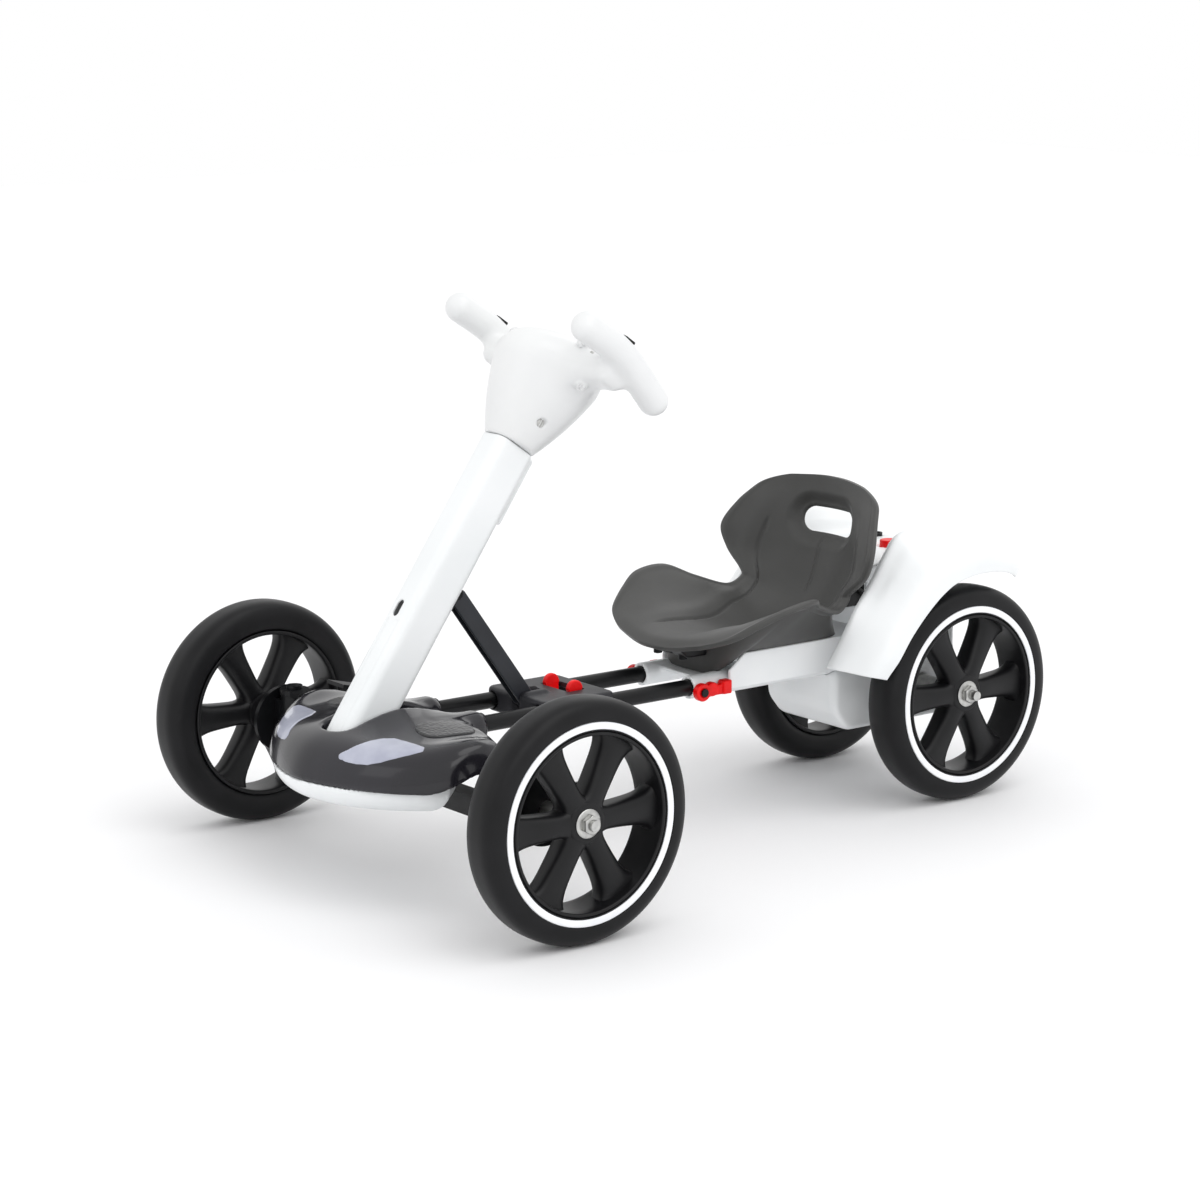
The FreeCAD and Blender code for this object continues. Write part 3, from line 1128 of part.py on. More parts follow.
def deck_z(x):
    """Height of the middle of the deck's wall at x, by running along the stations."""
    points = [polar(angle, deck - COVER_WALL / 2, 0) for angle, deck, _, _, _ in COVER_STATIONS]
    for near, far in zip(points, points[1:]):
        if far.x <= x <= near.x:
            return near.z + (far.z - near.z) * (x - near.x) / (far.x - near.x)
    raise ValueError("no deck there")


def stay(x_low, x_high):
    """Left stay from the frame's cheek up into the deck."""
    outline = [(x_low, RAIL_Z), (x_high, RAIL_Z), (x_high, deck_z(x_high)), (x_low, deck_z(x_low))]
    return plate_xz(outline, SIDE_Y, SIDE_Y + STAY_T)


def rear_cover():
    """White deck and fenders in one moulding, with stays down to the frame."""
    solid = skin([cover_section(station, 0.0) for station in COVER_STATIONS],
                 [cover_section(station, COVER_WALL) for station in COVER_STATIONS])
    seat_space = box((SEAT_SPACE_X, 2 * WHEEL_R), (-SEAT_SPACE_Y, SEAT_SPACE_Y), (0, 4 * WHEEL_R))
    solid = solid.cut(seat_space)
    for x_low, x_high in STAY_X:
        left = stay(x_low, x_high)
        solid = solid.fuse([left, mirrored(left)])
    solid = solid.cut([rod(switch_point(-20), switch_point(20), SWITCH_R + 0.4), charge_socket_block(0.0)])
    return largest(solid)


def switch_point(height):
    """A point above or below the middle of the power switch, on its axis."""
    return Vec(20.0, 22.0, WHEEL_R + 160.5 + height)


def power_switch():
    """Round push switch, its red cap proud of the deck."""
    cap = rod(switch_point(-6.0), switch_point(5.0), SWITCH_R)
    return cap.makeFillet(1.5, [e for e in cap.Edges if e.BoundBox.ZMin > switch_point(4.9).z])


def charge_socket_block(clearance):
    return rod(Vec(-12, -36, WHEEL_R + 130), Vec(-12, -36, WHEEL_R + 175), 8.0 + clearance)


def charge_socket():
    """Round socket in the deck where the charger plugs in."""
    low = Vec(-12, -36, WHEEL_R + 146)
    high = Vec(-12, -36, WHEEL_R + 162)
    socket = rod(low, high, 8.0)
    return socket.cut(ring(Vec(-12, -36, WHEEL_R + 151), Vec(-12, -36, WHEEL_R + 163), 6.0, 2.0))


# ---- all pieces ----------------------------------------------------------------------------------------
def wheel_nodes():
    """Tyre, rim, stripe and fixings of all four wheels."""
    nodes = {}
    for name in SIDES:
        flip = mirrored if name == "right" else (lambda shape: shape)
        for end, out, shift in (("front", FRONT_TYRE_OUT, shift_front), ("rear", REAR_TYRE_OUT, shift_rear)):
            live = end == "rear"
            wheel_rim = rim(AXLE_R if live else AXLE_R + 2, not live)
            nodes[end + "_" + name + "_tyre"] = shift(flip(place_wheel(tyre(), out)))
            if not live:
                nodes[end + "_" + name + "_stripe"] = shift(flip(place_wheel(stripe(), out)))
            nodes[end + "_" + name + "_rim"] = shift(flip(place_wheel(wheel_rim, out)))
        bearings = place_wheel(wheel_bearings(), FRONT_TYRE_OUT)
        nodes["front_" + name + "_wheel_bearings"] = shift_front(flip(bearings))
        nodes["front_" + name + "_wheel_nut"] = shift_front(flip(washer_and_nut(front_hub_y() + GAP / 2)))
        nodes["front_" + name + "_stub_axle"] = shift_front(flip(stub_axle()))
        nodes["front_" + name + "_knuckle"] = shift_front(flip(knuckle()))
    return nodes


def front_nodes():
    nodes = {
        "front_axle_beam": front_axle_beam(),
        "pivot_pins": Part.makeCompound(pair(kingpin()).Solids + pair(fold_pivot_pin()).Solids),
        "track_rod": track_rod(),
        "lower_steering_shaft": lower_steering_shaft(),
        "front_frame": front_frame(),
        "rails": pair(rail()),
        "front_shell_upper": upper_shell(),
        "front_shell_lower": lower_shell(),
        "light_panels": pair(light_panel()),
        "foot_pads": pair(foot_pad()),
        "pedal_bracket": pedal_bracket(),
        "accelerator_pedal": accelerator_pedal(),
        "column_shell": column_shell(),
        "steering_shaft": steering_shaft(),
        "fold_strut": fold_strut(),
        "strut_pins": strut_pins(),
        "slide_bracket": slide_bracket(),
        "left_release_tab": release_tab(),
        "right_release_tab": mirrored(release_tab()),
        "yoke_front_shell": yoke_half(1),
        "yoke_rear_shell": yoke_half(-1),
        "yoke_screws": yoke_screws(),
        "left_thumb_button": thumb_button(1),
        "right_thumb_button": thumb_button(-1),
    }
    return {name: shift_front(shape) for name, shape in nodes.items()}


def rear_nodes():
    nodes = {
        "rear_frame": rear_frame(),
        "clamp_pins": pair(clamp_pin()),
        "left_clamp_lever": clamp_lever(),
        "right_clamp_lever": mirrored(clamp_lever()),
        "motor_housing": motor_housing(),
        "axle_bearings": axle_bearings(),
        "rear_axle": rear_axle(),
        "rear_stripes": pair(place_wheel(stripe(), REAR_TYRE_OUT)),
        "rear_wheel_nuts": pair_of_nuts(),
        "axle_gear": axle_gear(),
        "motor_pinion": motor_pinion(),
        "motor": motor(),
        "battery": battery(),
        "seat": seat(),
        "seat_bolts": seat_bolts(),
        "rear_cover": rear_cover(),
        "power_switch": power_switch(),
        "charge_socket": charge_socket(),
    }
    return {name: shift_rear(shape) for name, shape in nodes.items()}


def pair_of_nuts():
    left = washer_and_nut(rear_hub_y())
    return Part.makeCompound(left.Solids + mirrored(left).Solids)


def main():
    os.makedirs("parts", exist_ok=True)
    nodes = {**wheel_nodes(), **front_nodes(), **rear_nodes()}
    for name, shape in nodes.items():
        shape.exportStep("parts/" + name + ".step")
        print(name, len(shape.Solids), "solids", round(shape.Volume), "mm3", shape.isValid())
    print(len(nodes), "nodes")


main()
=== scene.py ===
"""Looks of a child's folding go kart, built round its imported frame.

Lengths are in millimetres until a mesh is written.  Every piece stands in the kart's own frame: +X forwards,
+Y to the rider's left, +Z up.  A shape is either a grid of points worked out as whole arrays, or an implicit
solid, a function that is negative inside, whose skin is a net of quads drawn onto its surface.
"""

import logging
import math
from collections.abc import Callable, Sequence
from dataclasses import dataclass, field
from enum import Enum

import bpy
import numpy as np
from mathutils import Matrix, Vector


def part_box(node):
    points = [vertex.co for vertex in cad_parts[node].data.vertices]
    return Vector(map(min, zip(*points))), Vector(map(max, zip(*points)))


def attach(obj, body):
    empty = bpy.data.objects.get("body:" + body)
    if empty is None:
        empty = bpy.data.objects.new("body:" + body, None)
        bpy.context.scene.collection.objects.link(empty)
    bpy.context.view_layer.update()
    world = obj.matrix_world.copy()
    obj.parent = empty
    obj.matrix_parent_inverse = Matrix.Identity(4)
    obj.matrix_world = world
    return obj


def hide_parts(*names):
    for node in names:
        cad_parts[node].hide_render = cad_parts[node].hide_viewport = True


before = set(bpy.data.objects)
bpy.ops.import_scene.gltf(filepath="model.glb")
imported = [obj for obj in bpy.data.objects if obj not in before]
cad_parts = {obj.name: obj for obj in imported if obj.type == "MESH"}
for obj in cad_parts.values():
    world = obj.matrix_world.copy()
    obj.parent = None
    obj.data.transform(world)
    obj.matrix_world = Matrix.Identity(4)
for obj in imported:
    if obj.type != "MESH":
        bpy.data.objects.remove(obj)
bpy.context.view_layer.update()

LOG = logging.getLogger("kart")
Array = np.ndarray
Solid = Callable[[Array, Array, Array], Array]
MM = 0.001


def middle(node: str) -> Array:
    """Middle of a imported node's box, in millimetres."""
    return np.array(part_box(node), float).reshape(2, 3).mean(0) / MM


FRONT_X = float(middle("front_left_tyre")[0])
REAR_X = float(middle("rear_left_tyre")[0])


# ---- number helpers ------------------------------------------------------------------------------------
def ease(low: float, high: float, value: Array) -> Array:
    """Smooth step: 0 at low, 1 at high and 3t^2 - 2t^3 between them.

    Args:
        low: where the step starts.
        high: where it ends; it may be below low.
        value: the numbers to place on the step.

    Returns:
        The step's height at each value.
    """
    t = np.clip((value - low) / (high - low), 0.0, 1.0)
    return t * t * (3 - 2 * t)


def hill(distance: Array, width: float) -> Array:
    """Bell curve of the given width: e to the power of minus (distance / width) squared."""
    return np.exp(-((distance / width) ** 2))


def through(values: Array, at: Array) -> Array:
    """Catmull-Rom curve through values, read at fractional places.

    Args:
        values: control values along the first axis.
        at: places from 0 to the last index.

    Returns:
        The curve's values at those places.
    """
    values = np.asarray(values, float)
    last = len(values) - 1
    start = np.clip(np.floor(at).astype(int), 0, last - 1)
    t = (at - start).reshape((-1,) + (1,) * (values.ndim - 1))
    padded = np.concatenate([2 * values[:1] - values[1:2], values, 2 * values[-1:] - values[-2:-1]])
    p0, p1, p2, p3 = (padded[start + k] for k in range(4))
    return 0.5 * (2 * p1 + (p2 - p0) * t + (2 * p0 - 5 * p1 + 4 * p2 - p3) * t**2
                  + (3 * p1 - p0 - 3 * p2 + p3) * t**3)


def even_loop(points: Array, count: int) -> Array:
    """A closed outline sampled again at even steps of its length.

    Args:
        points: the outline's corners.
        count: how many points to give back.

    Returns:
        The new points.
    """
    closed = np.vstack([points, points[:1]])
    along = np.concatenate([[0.0], np.cumsum(np.linalg.norm(np.diff(closed, axis=0), axis=1))])
    at = np.linspace(0, along[-1], count, endpoint=False)
    return np.stack([np.interp(at, along, closed[:, k]) for k in range(points.shape[1])], -1)


def rounded_rectangle(half_a: float, half_b: float, corner: float, count: int) -> Array:
    """Rounded rectangle: a quarter circle moved to each corner, sampled evenly.

    Args:
        half_a: half the first side.
        half_b: half the second side.
        corner: radius of the corners.
        count: how many points.

    Returns:
        Points of the loop.
    """
    turn = np.linspace(0, 2 * np.pi, 64, endpoint=False) + np.pi / 64
    a = (half_a - corner) * np.sign(np.cos(turn)) + corner * np.cos(turn)
    b = (half_b - corner) * np.sign(np.sin(turn)) + corner * np.sin(turn)
    return even_loop(np.stack([a, b], -1), count)


# ---- implicit solids -----------------------------------------------------------------------------------
def join(a: Array, b: Array, blend: float = 0.01) -> Array:
    """Union of two solids with a fillet: the lower value, pulled down where the two are within blend."""
    near = np.maximum(blend - np.abs(a - b), 0.0)
    return np.minimum(a, b) - near * near / (4 * blend)


def meet(a: Array, b: Array, blend: float = 0.01) -> Array:
    """Intersection of two solids with a rounded edge."""
    return -join(-a, -b, blend)


def without(a: Array, b: Array, blend: float = 0.01) -> Array:
    """First solid less the second, with a rounded edge."""
    return -join(-a, b, blend)


def block(x: Array, y: Array, z: Array, centre: Sequence[float], half: Sequence[float], r: float) -> Array:
    """Box with rounded edges: distance to a smaller box, less the rounding radius.

    Args:
        x: place forwards.
        y: place to the left.
        z: height.
        centre: middle of the box.
        half: half its sides.
        r: radius of its edges.

    Returns:
        The value there, negative inside.
    """
    a, b, c = (np.abs(at - middle_at) - size + r for at, middle_at, size in zip((x, y, z), centre, half))
    outside = np.sqrt(np.maximum(a, 0) ** 2 + np.maximum(b, 0) ** 2 + np.maximum(c, 0) ** 2)
    return outside + np.minimum(np.maximum(np.maximum(a, b), c), 0) - r


def drum(along: Array, a: Array, b: Array, ends: tuple[float, float], radius: float, r: float) -> Array:
    """Round bar with rounded rims: distance in the plane of its radius and its length.

    Args:
        along: place along the bar.
        a: first distance from its middle line.
        b: second distance, square to the first.
        ends: where the bar starts and ends.
        radius: radius of the bar.
        r: radius of its rims.

    Returns:
        The value there, negative inside.
    """
    d = np.hypot(a, b) - radius + r
    e = np.abs(along - sum(ends) / 2) - abs(ends[1] - ends[0]) / 2 + r
    return np.minimum(np.maximum(d, e), 0) + np.hypot(np.maximum(d, 0), np.maximum(e, 0)) - r


def stick(x: Array, y: Array, z: Array, start: Sequence[float], end: Sequence[float], radius: float) -> Array:
    """Bar with domed ends: distance to the line between two points, less the radius.

    Args:
        x: place forwards.
        y: place to the left.
        z: height.
        start: middle of one dome.
        end: middle of the other.
        radius: radius of the bar.

    Returns:
        The value there, negative inside.
    """
    way = np.subtract(end, start)
    rel = (x - start[0], y - start[1], z - start[2])
    t = np.clip(sum(r * w for r, w in zip(rel, way)) / float(way @ way), 0, 1)
    return np.sqrt(sum((r - t * w) ** 2 for r, w in zip(rel, way))) - radius


def outline_distance(x: Array, y: Array, outline: Array) -> Array:
    """Signed distance in plan to a closed outline: nearest edge, negative where a ray crosses it oddly.

    Args:
        x: first place.
        y: second place.
        outline: the outline's corners in order.

    Returns:
        The distance, negative inside.
    """
    px, py = x[..., None], y[..., None]
    ax, ay = outline.T
    ex, ey = np.roll(ax, -1) - ax, np.roll(ay, -1) - ay
    wx, wy = px - ax, py - ay
    t = np.clip((wx * ex + wy * ey) / (ex**2 + ey**2), 0, 1)
    nearest = np.sqrt(((wx - t * ex) ** 2 + (wy - t * ey) ** 2).min(-1))
    crossed = ((ay > py) != (ay + ey > py)) & (px < ax + (py - ay) * ex / np.where(ey == 0, 1e-9, ey))
    return np.where(crossed.sum(-1) % 2 == 1, -nearest, nearest)


def slope_of(solid: Solid, points: Array, value: Array, small: float) -> Array:
    """Gradient of an implicit solid at points, by forward differences.

    Args:
        solid: the solid.
        points: where to measure.
        value: the solid's value at those points.
        small: length of a step.

    Returns:
        One gradient for each point.
    """
    x, y, z = points.T
    return np.stack([solid(x + small, y, z) - value, solid(x, y + small, z) - value,
                     solid(x, y, z + small) - value], -1) / small


def settle(solid: Solid, points: Array, step: float, rounds: int) -> Array:
    """Points drawn onto a solid's surface by Newton steps, each at most half a cell long.

    Args:
        solid: the solid.
        points: points near its surface.
        step: size of a cell.
        rounds: how many steps.

    Returns:
        The moved points.
    """
    for _ in range(rounds):
        value = solid(*points.T)
        slope = slope_of(solid, points, value, 0.02)
        move = slope * (value / np.maximum((slope**2).sum(-1), 1e-4))[:, None]
        length = np.maximum(np.linalg.norm(move, axis=1), 1e-9)
        points = points - move * np.minimum(1.0, 0.5 * step / length)[:, None]
    return points


def net(solid: Solid, low: Sequence[float], high: Sequence[float], step: float) -> tuple[Array, Array]:
    """Skin of an implicit solid.

    The space is cut into cubes.  Each cube that the surface crosses gets one point, at the mean of the crossings
    on its edges, and each crossed edge gets a quad round it.  The points are then evened out along the surface
    and drawn onto it.

    Args:
        solid: function that is negative inside.
        low: lowest corner of the space.
        high: highest corner.
        step: size of a cube.

    Returns:
        Points and quads, with the quads facing outwards.
    """
    axes = [np.arange(a - 1.6 * step, b + 1.6 * step, step) for a, b in zip(low, high)]
    shape = tuple(len(a) for a in axes)
    value = np.broadcast_to(solid(*np.meshgrid(*axes, indexing="ij", sparse=True)), shape)
    cells = tuple(n - 1 for n in shape)
    total, hits, edges = np.zeros((*cells, 3)), np.zeros(cells), []
    for axis in range(3):
        first, second = [k for k in range(3) if k != axis]
        near, far = [slice(None)] * 3, [slice(None)] * 3
        near[axis], far[axis] = slice(None, -1), slice(1, None)
        a, b = value[tuple(near)], value[tuple(far)]
        cut = (a < 0) != (b < 0)
        share = np.where(cut, a / np.where(cut, a - b, 1.0), 0.0)
        for s in (0, 1):
            for t in (0, 1):
                pick = [slice(None)] * 3
                pick[first], pick[second] = slice(s, s + cells[first]), slice(t, t + cells[second])
                here = cut[tuple(pick)]
                hits += here
                total[..., axis] += share[tuple(pick)]
                total[..., first] += here * s
                total[..., second] += here * t
        edges.append((cut, a < 0, first, second))
    found = hits > 0
    number = np.full(cells, -1)
    number[found] = np.arange(found.sum())
    points = (np.argwhere(found) + total[found] / hits[found][:, None]) * step + [a[0] for a in axes]
    quads = []
    for axis, (cut, inside, first, second) in enumerate(edges):
        spots = np.argwhere(cut)
        keep = ((spots[:, first] > 0) & (spots[:, first] < cells[first])
                & (spots[:, second] > 0) & (spots[:, second] < cells[second]))
        spots = spots[keep]
        around = []
        for s, t in ((-1, -1), (0, -1), (0, 0), (-1, 0)):
            cell = spots.copy()
            cell[:, first] += s
            cell[:, second] += t
            around.append(number[tuple(cell.T)])
        quad = np.stack(around, -1)
        turn = inside[tuple(spots.T)] ^ (axis == 1)
        quad[~turn] = quad[~turn][:, ::-1]
        quads.append(quad)
    faces = np.vstack(quads)
    points = settle(solid, points, step, 2)
    for _ in range(3):
        points = settle(solid, relaxed(points, faces), step, 2)
    return points, faces


def relaxed(points: Array, quads: Array) -> Array:
    """Each point moved half way to the mean of its neighbours along the quads' edges.

    Args:
        points: points of a net.
        quads: its faces.

    Returns:
        The moved points.
    """
    ends = np.vstack([np.stack([quads[:, k], quads[:, (k + 1) % 4]], -1) for k in range(4)])
    total, count = np.zeros_like(points), np.zeros(len(points))
    np.add.at(total, ends[:, 0], points[ends[:, 1]])
    np.add.at(count, ends[:, 0], 1)
    return 0.5 * points + 0.5 * total / np.maximum(count, 1)[:, None]


# ---- meshes --------------------------------------------------------------------------------------------
def grid_quads(rows: int, cols: int, wrap_rows: bool = False, wrap_cols: bool = False) -> Array:
    """Quads of a grid of points, closed in either direction if asked.

    Args:
        rows: points in the first direction.
        cols: points in the second.
        wrap_rows: joins the last row to the first.
        wrap_cols: joins the last column to the first.

    Returns:
        Four places in the grid for each quad.
    """
    index = np.arange(rows * cols).reshape(rows, cols)
    if wrap_cols:
        index = np.hstack([index, index[:, :1]])
    if wrap_rows:
        index = np.vstack([index, index[:1]])
    return np.stack([index[:-1, :-1], index[1:, :-1], index[1:, 1:], index[:-1, 1:]], -1).reshape(-1, 4)


def enclosed(points: Array, faces: Array) -> float:
    """Volume inside closed faces, negative where they face inwards.

    Args:
        points: points of the faces.
        faces: three or four places for each face.

    Returns:
        The volume.
    """
    total = 0.0
    for k in range(1, faces.shape[1] - 1):
        a, b, c = points[faces[:, 0]], points[faces[:, k]], points[faces[:, k + 1]]
        total += float((a * np.cross(b, c)).sum()) / 6
    return total


@dataclass
class Skin:
    """Points and faces of one piece, gathered shape by shape."""

    points: list[Array] = field(default_factory=list)
    faces: list[Array] = field(default_factory=list)
    count: int = 0

    def add(self, points: Array, *faces: Array) -> "Skin":
        """Adds one closed shape, turned so that it faces outwards.

        Args:
            points: its points.
            faces: its faces, in one group for each number of corners.

        Returns:
            The skin itself.
        """
        points = np.asarray(points, float).reshape(-1, 3)
        inward = sum(enclosed(points, f) for f in faces) < 0
        for f in faces:
            self.faces.append((f[:, ::-1] if inward else f) + self.count)
        self.points.append(points)
        self.count += len(points)
        return self

    def tube(self, rows: Array) -> "Skin":
        """Adds closed loops joined in a row, with a fan over each end.

        Args:
            rows: the loops, one in each row.

        Returns:
            The skin itself.
        """
        r, c, _ = rows.shape
        here = np.arange(c)
        after = np.roll(here, -1)
        start = np.stack([np.full(c, r * c), here, after], -1)
        end = np.stack([np.full(c, r * c + 1), (r - 1) * c + after, (r - 1) * c + here], -1)
        points = np.vstack([rows.reshape(-1, 3), rows[0].mean(0), rows[-1].mean(0)])
        return self.add(points, grid_quads(r, c, wrap_cols=True), np.vstack([start, end]))

    def ring(self, rows: Array) -> "Skin":
        """Adds a grid that closes on itself both ways."""
        return self.add(rows, grid_quads(rows.shape[0], rows.shape[1], True, True))

    def sheet(self, upper: Array, lower: Array, keep: Array) -> "Skin":
        """Adds two grids that meet at their borders, less the cells that keep leaves out.

        Args:
            upper: grid of the upper face.
            lower: grid of the lower face.
            keep: which cells stay.

        Returns:
            The skin itself.
        """
        quads = grid_quads(*upper.shape[:2])[keep.reshape(-1)]
        points = np.vstack([upper.reshape(-1, 3), lower.reshape(-1, 3)])
        return self.add(points, quads, quads[:, ::-1] + upper.shape[0] * upper.shape[1])

    def solid(self, shape: Solid, low: Sequence[float], high: Sequence[float], step: float) -> "Skin":
        """Adds the skin of an implicit solid."""
        points, faces = net(shape, low, high, step)
        return self.add(points, faces)

    def merged(self) -> tuple[Array, list]:
        """Points with doubles merged, and faces without the slivers that this leaves.

        Returns:
            The points and the faces.
        """
        points = np.vstack(self.points)
        _, first, back = np.unique(np.round(points / 0.004).astype(np.int64), axis=0, return_index=True,
                                   return_inverse=True)
        back = back.reshape(-1)
        faces = []
        for group in self.faces:
            group = back[group]
            same = group == np.roll(group, -1, axis=1)
            faces += group[~same.any(1)].tolist()
            if group.shape[1] == 4:
                for k in range(4):
                    short = same[:, k] & (same.sum(1) == 1)
                    faces += np.delete(group[short], k, axis=1).tolist()
        used, again = np.unique(np.concatenate(faces), return_inverse=True)
        cuts = np.cumsum([len(f) for f in faces])[:-1]
        return points[first][used], [f.tolist() for f in np.split(again.reshape(-1), cuts)]


def revolved(profile: Array, count: int) -> Array:
    """Rows of points of a profile of (radius, along Y) turned about the Y axis.

    Args:
        profile: pairs of radius and place along Y.
        count: points round the axis.

    Returns:
        One row for each pair.
    """
    turn = np.linspace(0, 2 * np.pi, count, endpoint=False)
    r, y = np.asarray(profile, float).T
    return np.stack([np.outer(r, np.cos(turn)), np.repeat(y[:, None], count, 1), np.outer(r, np.sin(turn))], -1)


# ---- finishes ------------------------------------------------------------------------------------------
class Grain(Enum):
    """How the small relief of a finish is made."""

    FINE = "fine"
    PEBBLE = "pebble"
    BRUSHED = "brushed"
    SMOOTH = "smooth"


def linear(code: str) -> tuple[float, float, float, float]:
    """A colour code of six hexadecimal digits as linear red, green and blue."""
    parts = [int(code[k:k + 2], 16) / 255 for k in (0, 2, 4)]
    return tuple(c / 12.92 if c <= 0.04045 else ((c + 0.055) / 1.055) ** 2.4 for c in parts) + (1.0,)


@dataclass(frozen=True)
class Finish:
    """A procedural finish on object coordinates: a mottled colour, patchy gloss and a small relief."""

    name: str
    colour: str
    second: str
    gloss: tuple[float, float]
    grain: Grain = Grain.FINE
    grain_mm: float = 0.6
    relief_mm: float = 0.02
    patch_mm: float = 60.0
    metallic: float = 0.0
    coat: float = 0.0
    coat_roughness: float = 0.06
    specular: float = 0.5

    def material(self) -> bpy.types.Material:
        """The finish as a node material, made once.

        Returns:
            The material.
        """
        made = bpy.data.materials.get(self.name)
        if made:
            return made
        made = bpy.data.materials.new(self.name)
        made.use_nodes = True
        nodes, link = made.node_tree.nodes, made.node_tree.links.new
        shader = nodes["Principled BSDF"]
        shader.inputs["Metallic"].default_value = self.metallic
        shader.inputs["Coat Weight"].default_value = self.coat
        shader.inputs["Coat Roughness"].default_value = self.coat_roughness
        shader.inputs["Specular IOR Level"].default_value = self.specular
        place = nodes.new("ShaderNodeTexCoord")
        stretch = nodes.new("ShaderNodeMapping")
        if self.grain is Grain.BRUSHED:
            stretch.inputs["Scale"].default_value = (1.0, 0.06, 1.0)
        link(place.outputs["Object"], stretch.inputs["Vector"])
        patches = nodes.new("ShaderNodeTexNoise")
        patches.inputs["Scale"].default_value = 1 / (self.patch_mm * MM)
        patches.inputs["Detail"].default_value = 5.0
        link(place.outputs["Object"], patches.inputs["Vector"])
        mix = nodes.new("ShaderNodeMix")
        mix.data_type = "RGBA"
        mix.inputs["A"].default_value = linear(self.colour)
        mix.inputs["B"].default_value = linear(self.second)
        spread = nodes.new("ShaderNodeMapRange")
        spread.inputs["From Min"].default_value = 0.35
        spread.inputs["From Max"].default_value = 0.7
        link(patches.outputs["Fac"], spread.inputs["Value"])
        link(spread.outputs["Result"], mix.inputs["Factor"])
        link(mix.outputs["Result"], shader.inputs["Base Color"])
        relief = self.relief(nodes, link, stretch)
        rough = nodes.new("ShaderNodeMapRange")
        rough.inputs["To Min"].default_value, rough.inputs["To Max"].default_value = self.gloss
        scuffs = nodes.new("ShaderNodeTexNoise")
        scuffs.inputs["Scale"].default_value = 2.7 / (self.patch_mm * MM)
        scuffs.inputs["Detail"].default_value = 8.0
        scuffs.inputs["Roughness"].default_value = 0.65
        link(stretch.outputs["Vector"], scuffs.inputs["Vector"])
        link(scuffs.outputs["Fac"], rough.inputs["Value"])
        link(rough.outputs["Result"], shader.inputs["Roughness"])
        bump = nodes.new("ShaderNodeBump")
        bump.inputs["Strength"].default_value = 1.0
        bump.inputs["Distance"].default_value = self.relief_mm * MM
        link(relief, bump.inputs["Height"])
        link(bump.outputs["Normal"], shader.inputs["Normal"])
        return made

    def relief(self, nodes: bpy.types.Nodes, link: Callable, stretch: bpy.types.Node) -> bpy.types.NodeSocket:
        """Height of the small relief: cells for pebbles, noise for the rest.

        Args:
            nodes: the material's nodes.
            link: the function that links two sockets.
            stretch: the node that gives the place.

        Returns:
            The socket of the height.
        """
        if self.grain is Grain.PEBBLE:
            cells = nodes.new("ShaderNodeTexVoronoi")
            cells.feature = "SMOOTH_F1"
            cells.inputs["Scale"].default_value = 1 / (self.grain_mm * MM)
            link(stretch.outputs["Vector"], cells.inputs["Vector"])
            turn = nodes.new("ShaderNodeMath")
            turn.operation = "SUBTRACT"
            turn.inputs[0].default_value = 1.0
            link(cells.outputs["Distance"], turn.inputs[1])
            return turn.outputs["Value"]
        noise = nodes.new("ShaderNodeTexNoise")
        noise.inputs["Scale"].default_value = 1 / (self.grain_mm * MM)
        noise.inputs["Detail"].default_value = 3.0 if self.grain is Grain.SMOOTH else 6.0
        link(stretch.outputs["Vector"], noise.inputs["Vector"])
        return noise.outputs["Fac"]


RUBBER = Finish("tyre rubber", "0d0d0f", "151517", (0.34, 0.48), Grain.FINE, 0.9, 0.03, 45.0, specular=0.22)
RIM_PLASTIC = Finish("black moulded plastic", "0c0c0e", "131315", (0.34, 0.46), Grain.FINE, 0.7, 0.02, 40.0,
                     specular=0.28)
STRIPE = Finish("white tyre stripe", "f7f8fa", "edeff3", (0.3, 0.42), Grain.SMOOTH, 6.0, 0.02, 30.0)
ZINC = Finish("zinc plated steel", "c9c9c6", "a9a9a8", (0.2, 0.42), Grain.BRUSHED, 0.5, 0.01, 8.0, 1.0)
BLACK_PAINT = Finish("black powder paint", "08080a", "101113", (0.3, 0.44), Grain.FINE, 1.6, 0.03, 40.0,
                     specular=0.25)
RED = Finish("red plastic", "f0060a", "dc0408", (0.3, 0.44), Grain.FINE, 1.2, 0.02, 12.0, specular=0.3)
BUTTON = Finish("black soft plastic", "0c0c0e", "141416", (0.45, 0.6), Grain.FINE, 0.6, 0.02, 15.0, specular=0.3)
SHELL_GREY = Finish("smoked grey plastic", "19181d", "232228", (0.14, 0.22), Grain.SMOOTH, 18.0, 0.05, 90.0,
                    coat=0.3, coat_roughness=0.05, specular=0.35)
SHELL_WHITE = Finish("white moulded plastic", "eff1f2", "e8ebec", (0.24, 0.36), Grain.SMOOTH, 14.0, 0.04, 120.0,
                     coat=0.2)
# The yoke's white plastic, a little darker than the other whites: painted shade, so that its edges show against the
# white room.
SHADED_YOKE_WHITE = Finish("white plastic darkened as painted shade", "e7e8e8", "e0e1e2", (0.26, 0.38), Grain.SMOOTH, 14.0, 0.04, 120.0,
                    coat=0.1)
PANEL = Finish("pale pearl panel", "b4b7c6", "a2a5b6", (0.18, 0.3), Grain.SMOOTH, 9.0, 0.03, 25.0, coat=0.6)
PAD = Finish("pebbled footrest", "141416", "222226", (0.24, 0.42), Grain.PEBBLE, 3.4, 0.9, 25.0, coat=0.25)
GRAPHITE = Finish("graphite paint", "212328", "2b2d33", (0.34, 0.48), Grain.FINE, 1.4, 0.02, 60.0, specular=0.35)
BRACKET_GREY = Finish("grey bracket plastic", "242428", "2e2e32", (0.4, 0.54), Grain.FINE, 1.0, 0.02, 40.0,
                      specular=0.3)
FRAME_WHITE = Finish("white frame paint", "f0f2f3", "e8ebed", (0.24, 0.38), Grain.FINE, 2.4, 0.03, 70.0, coat=0.25)
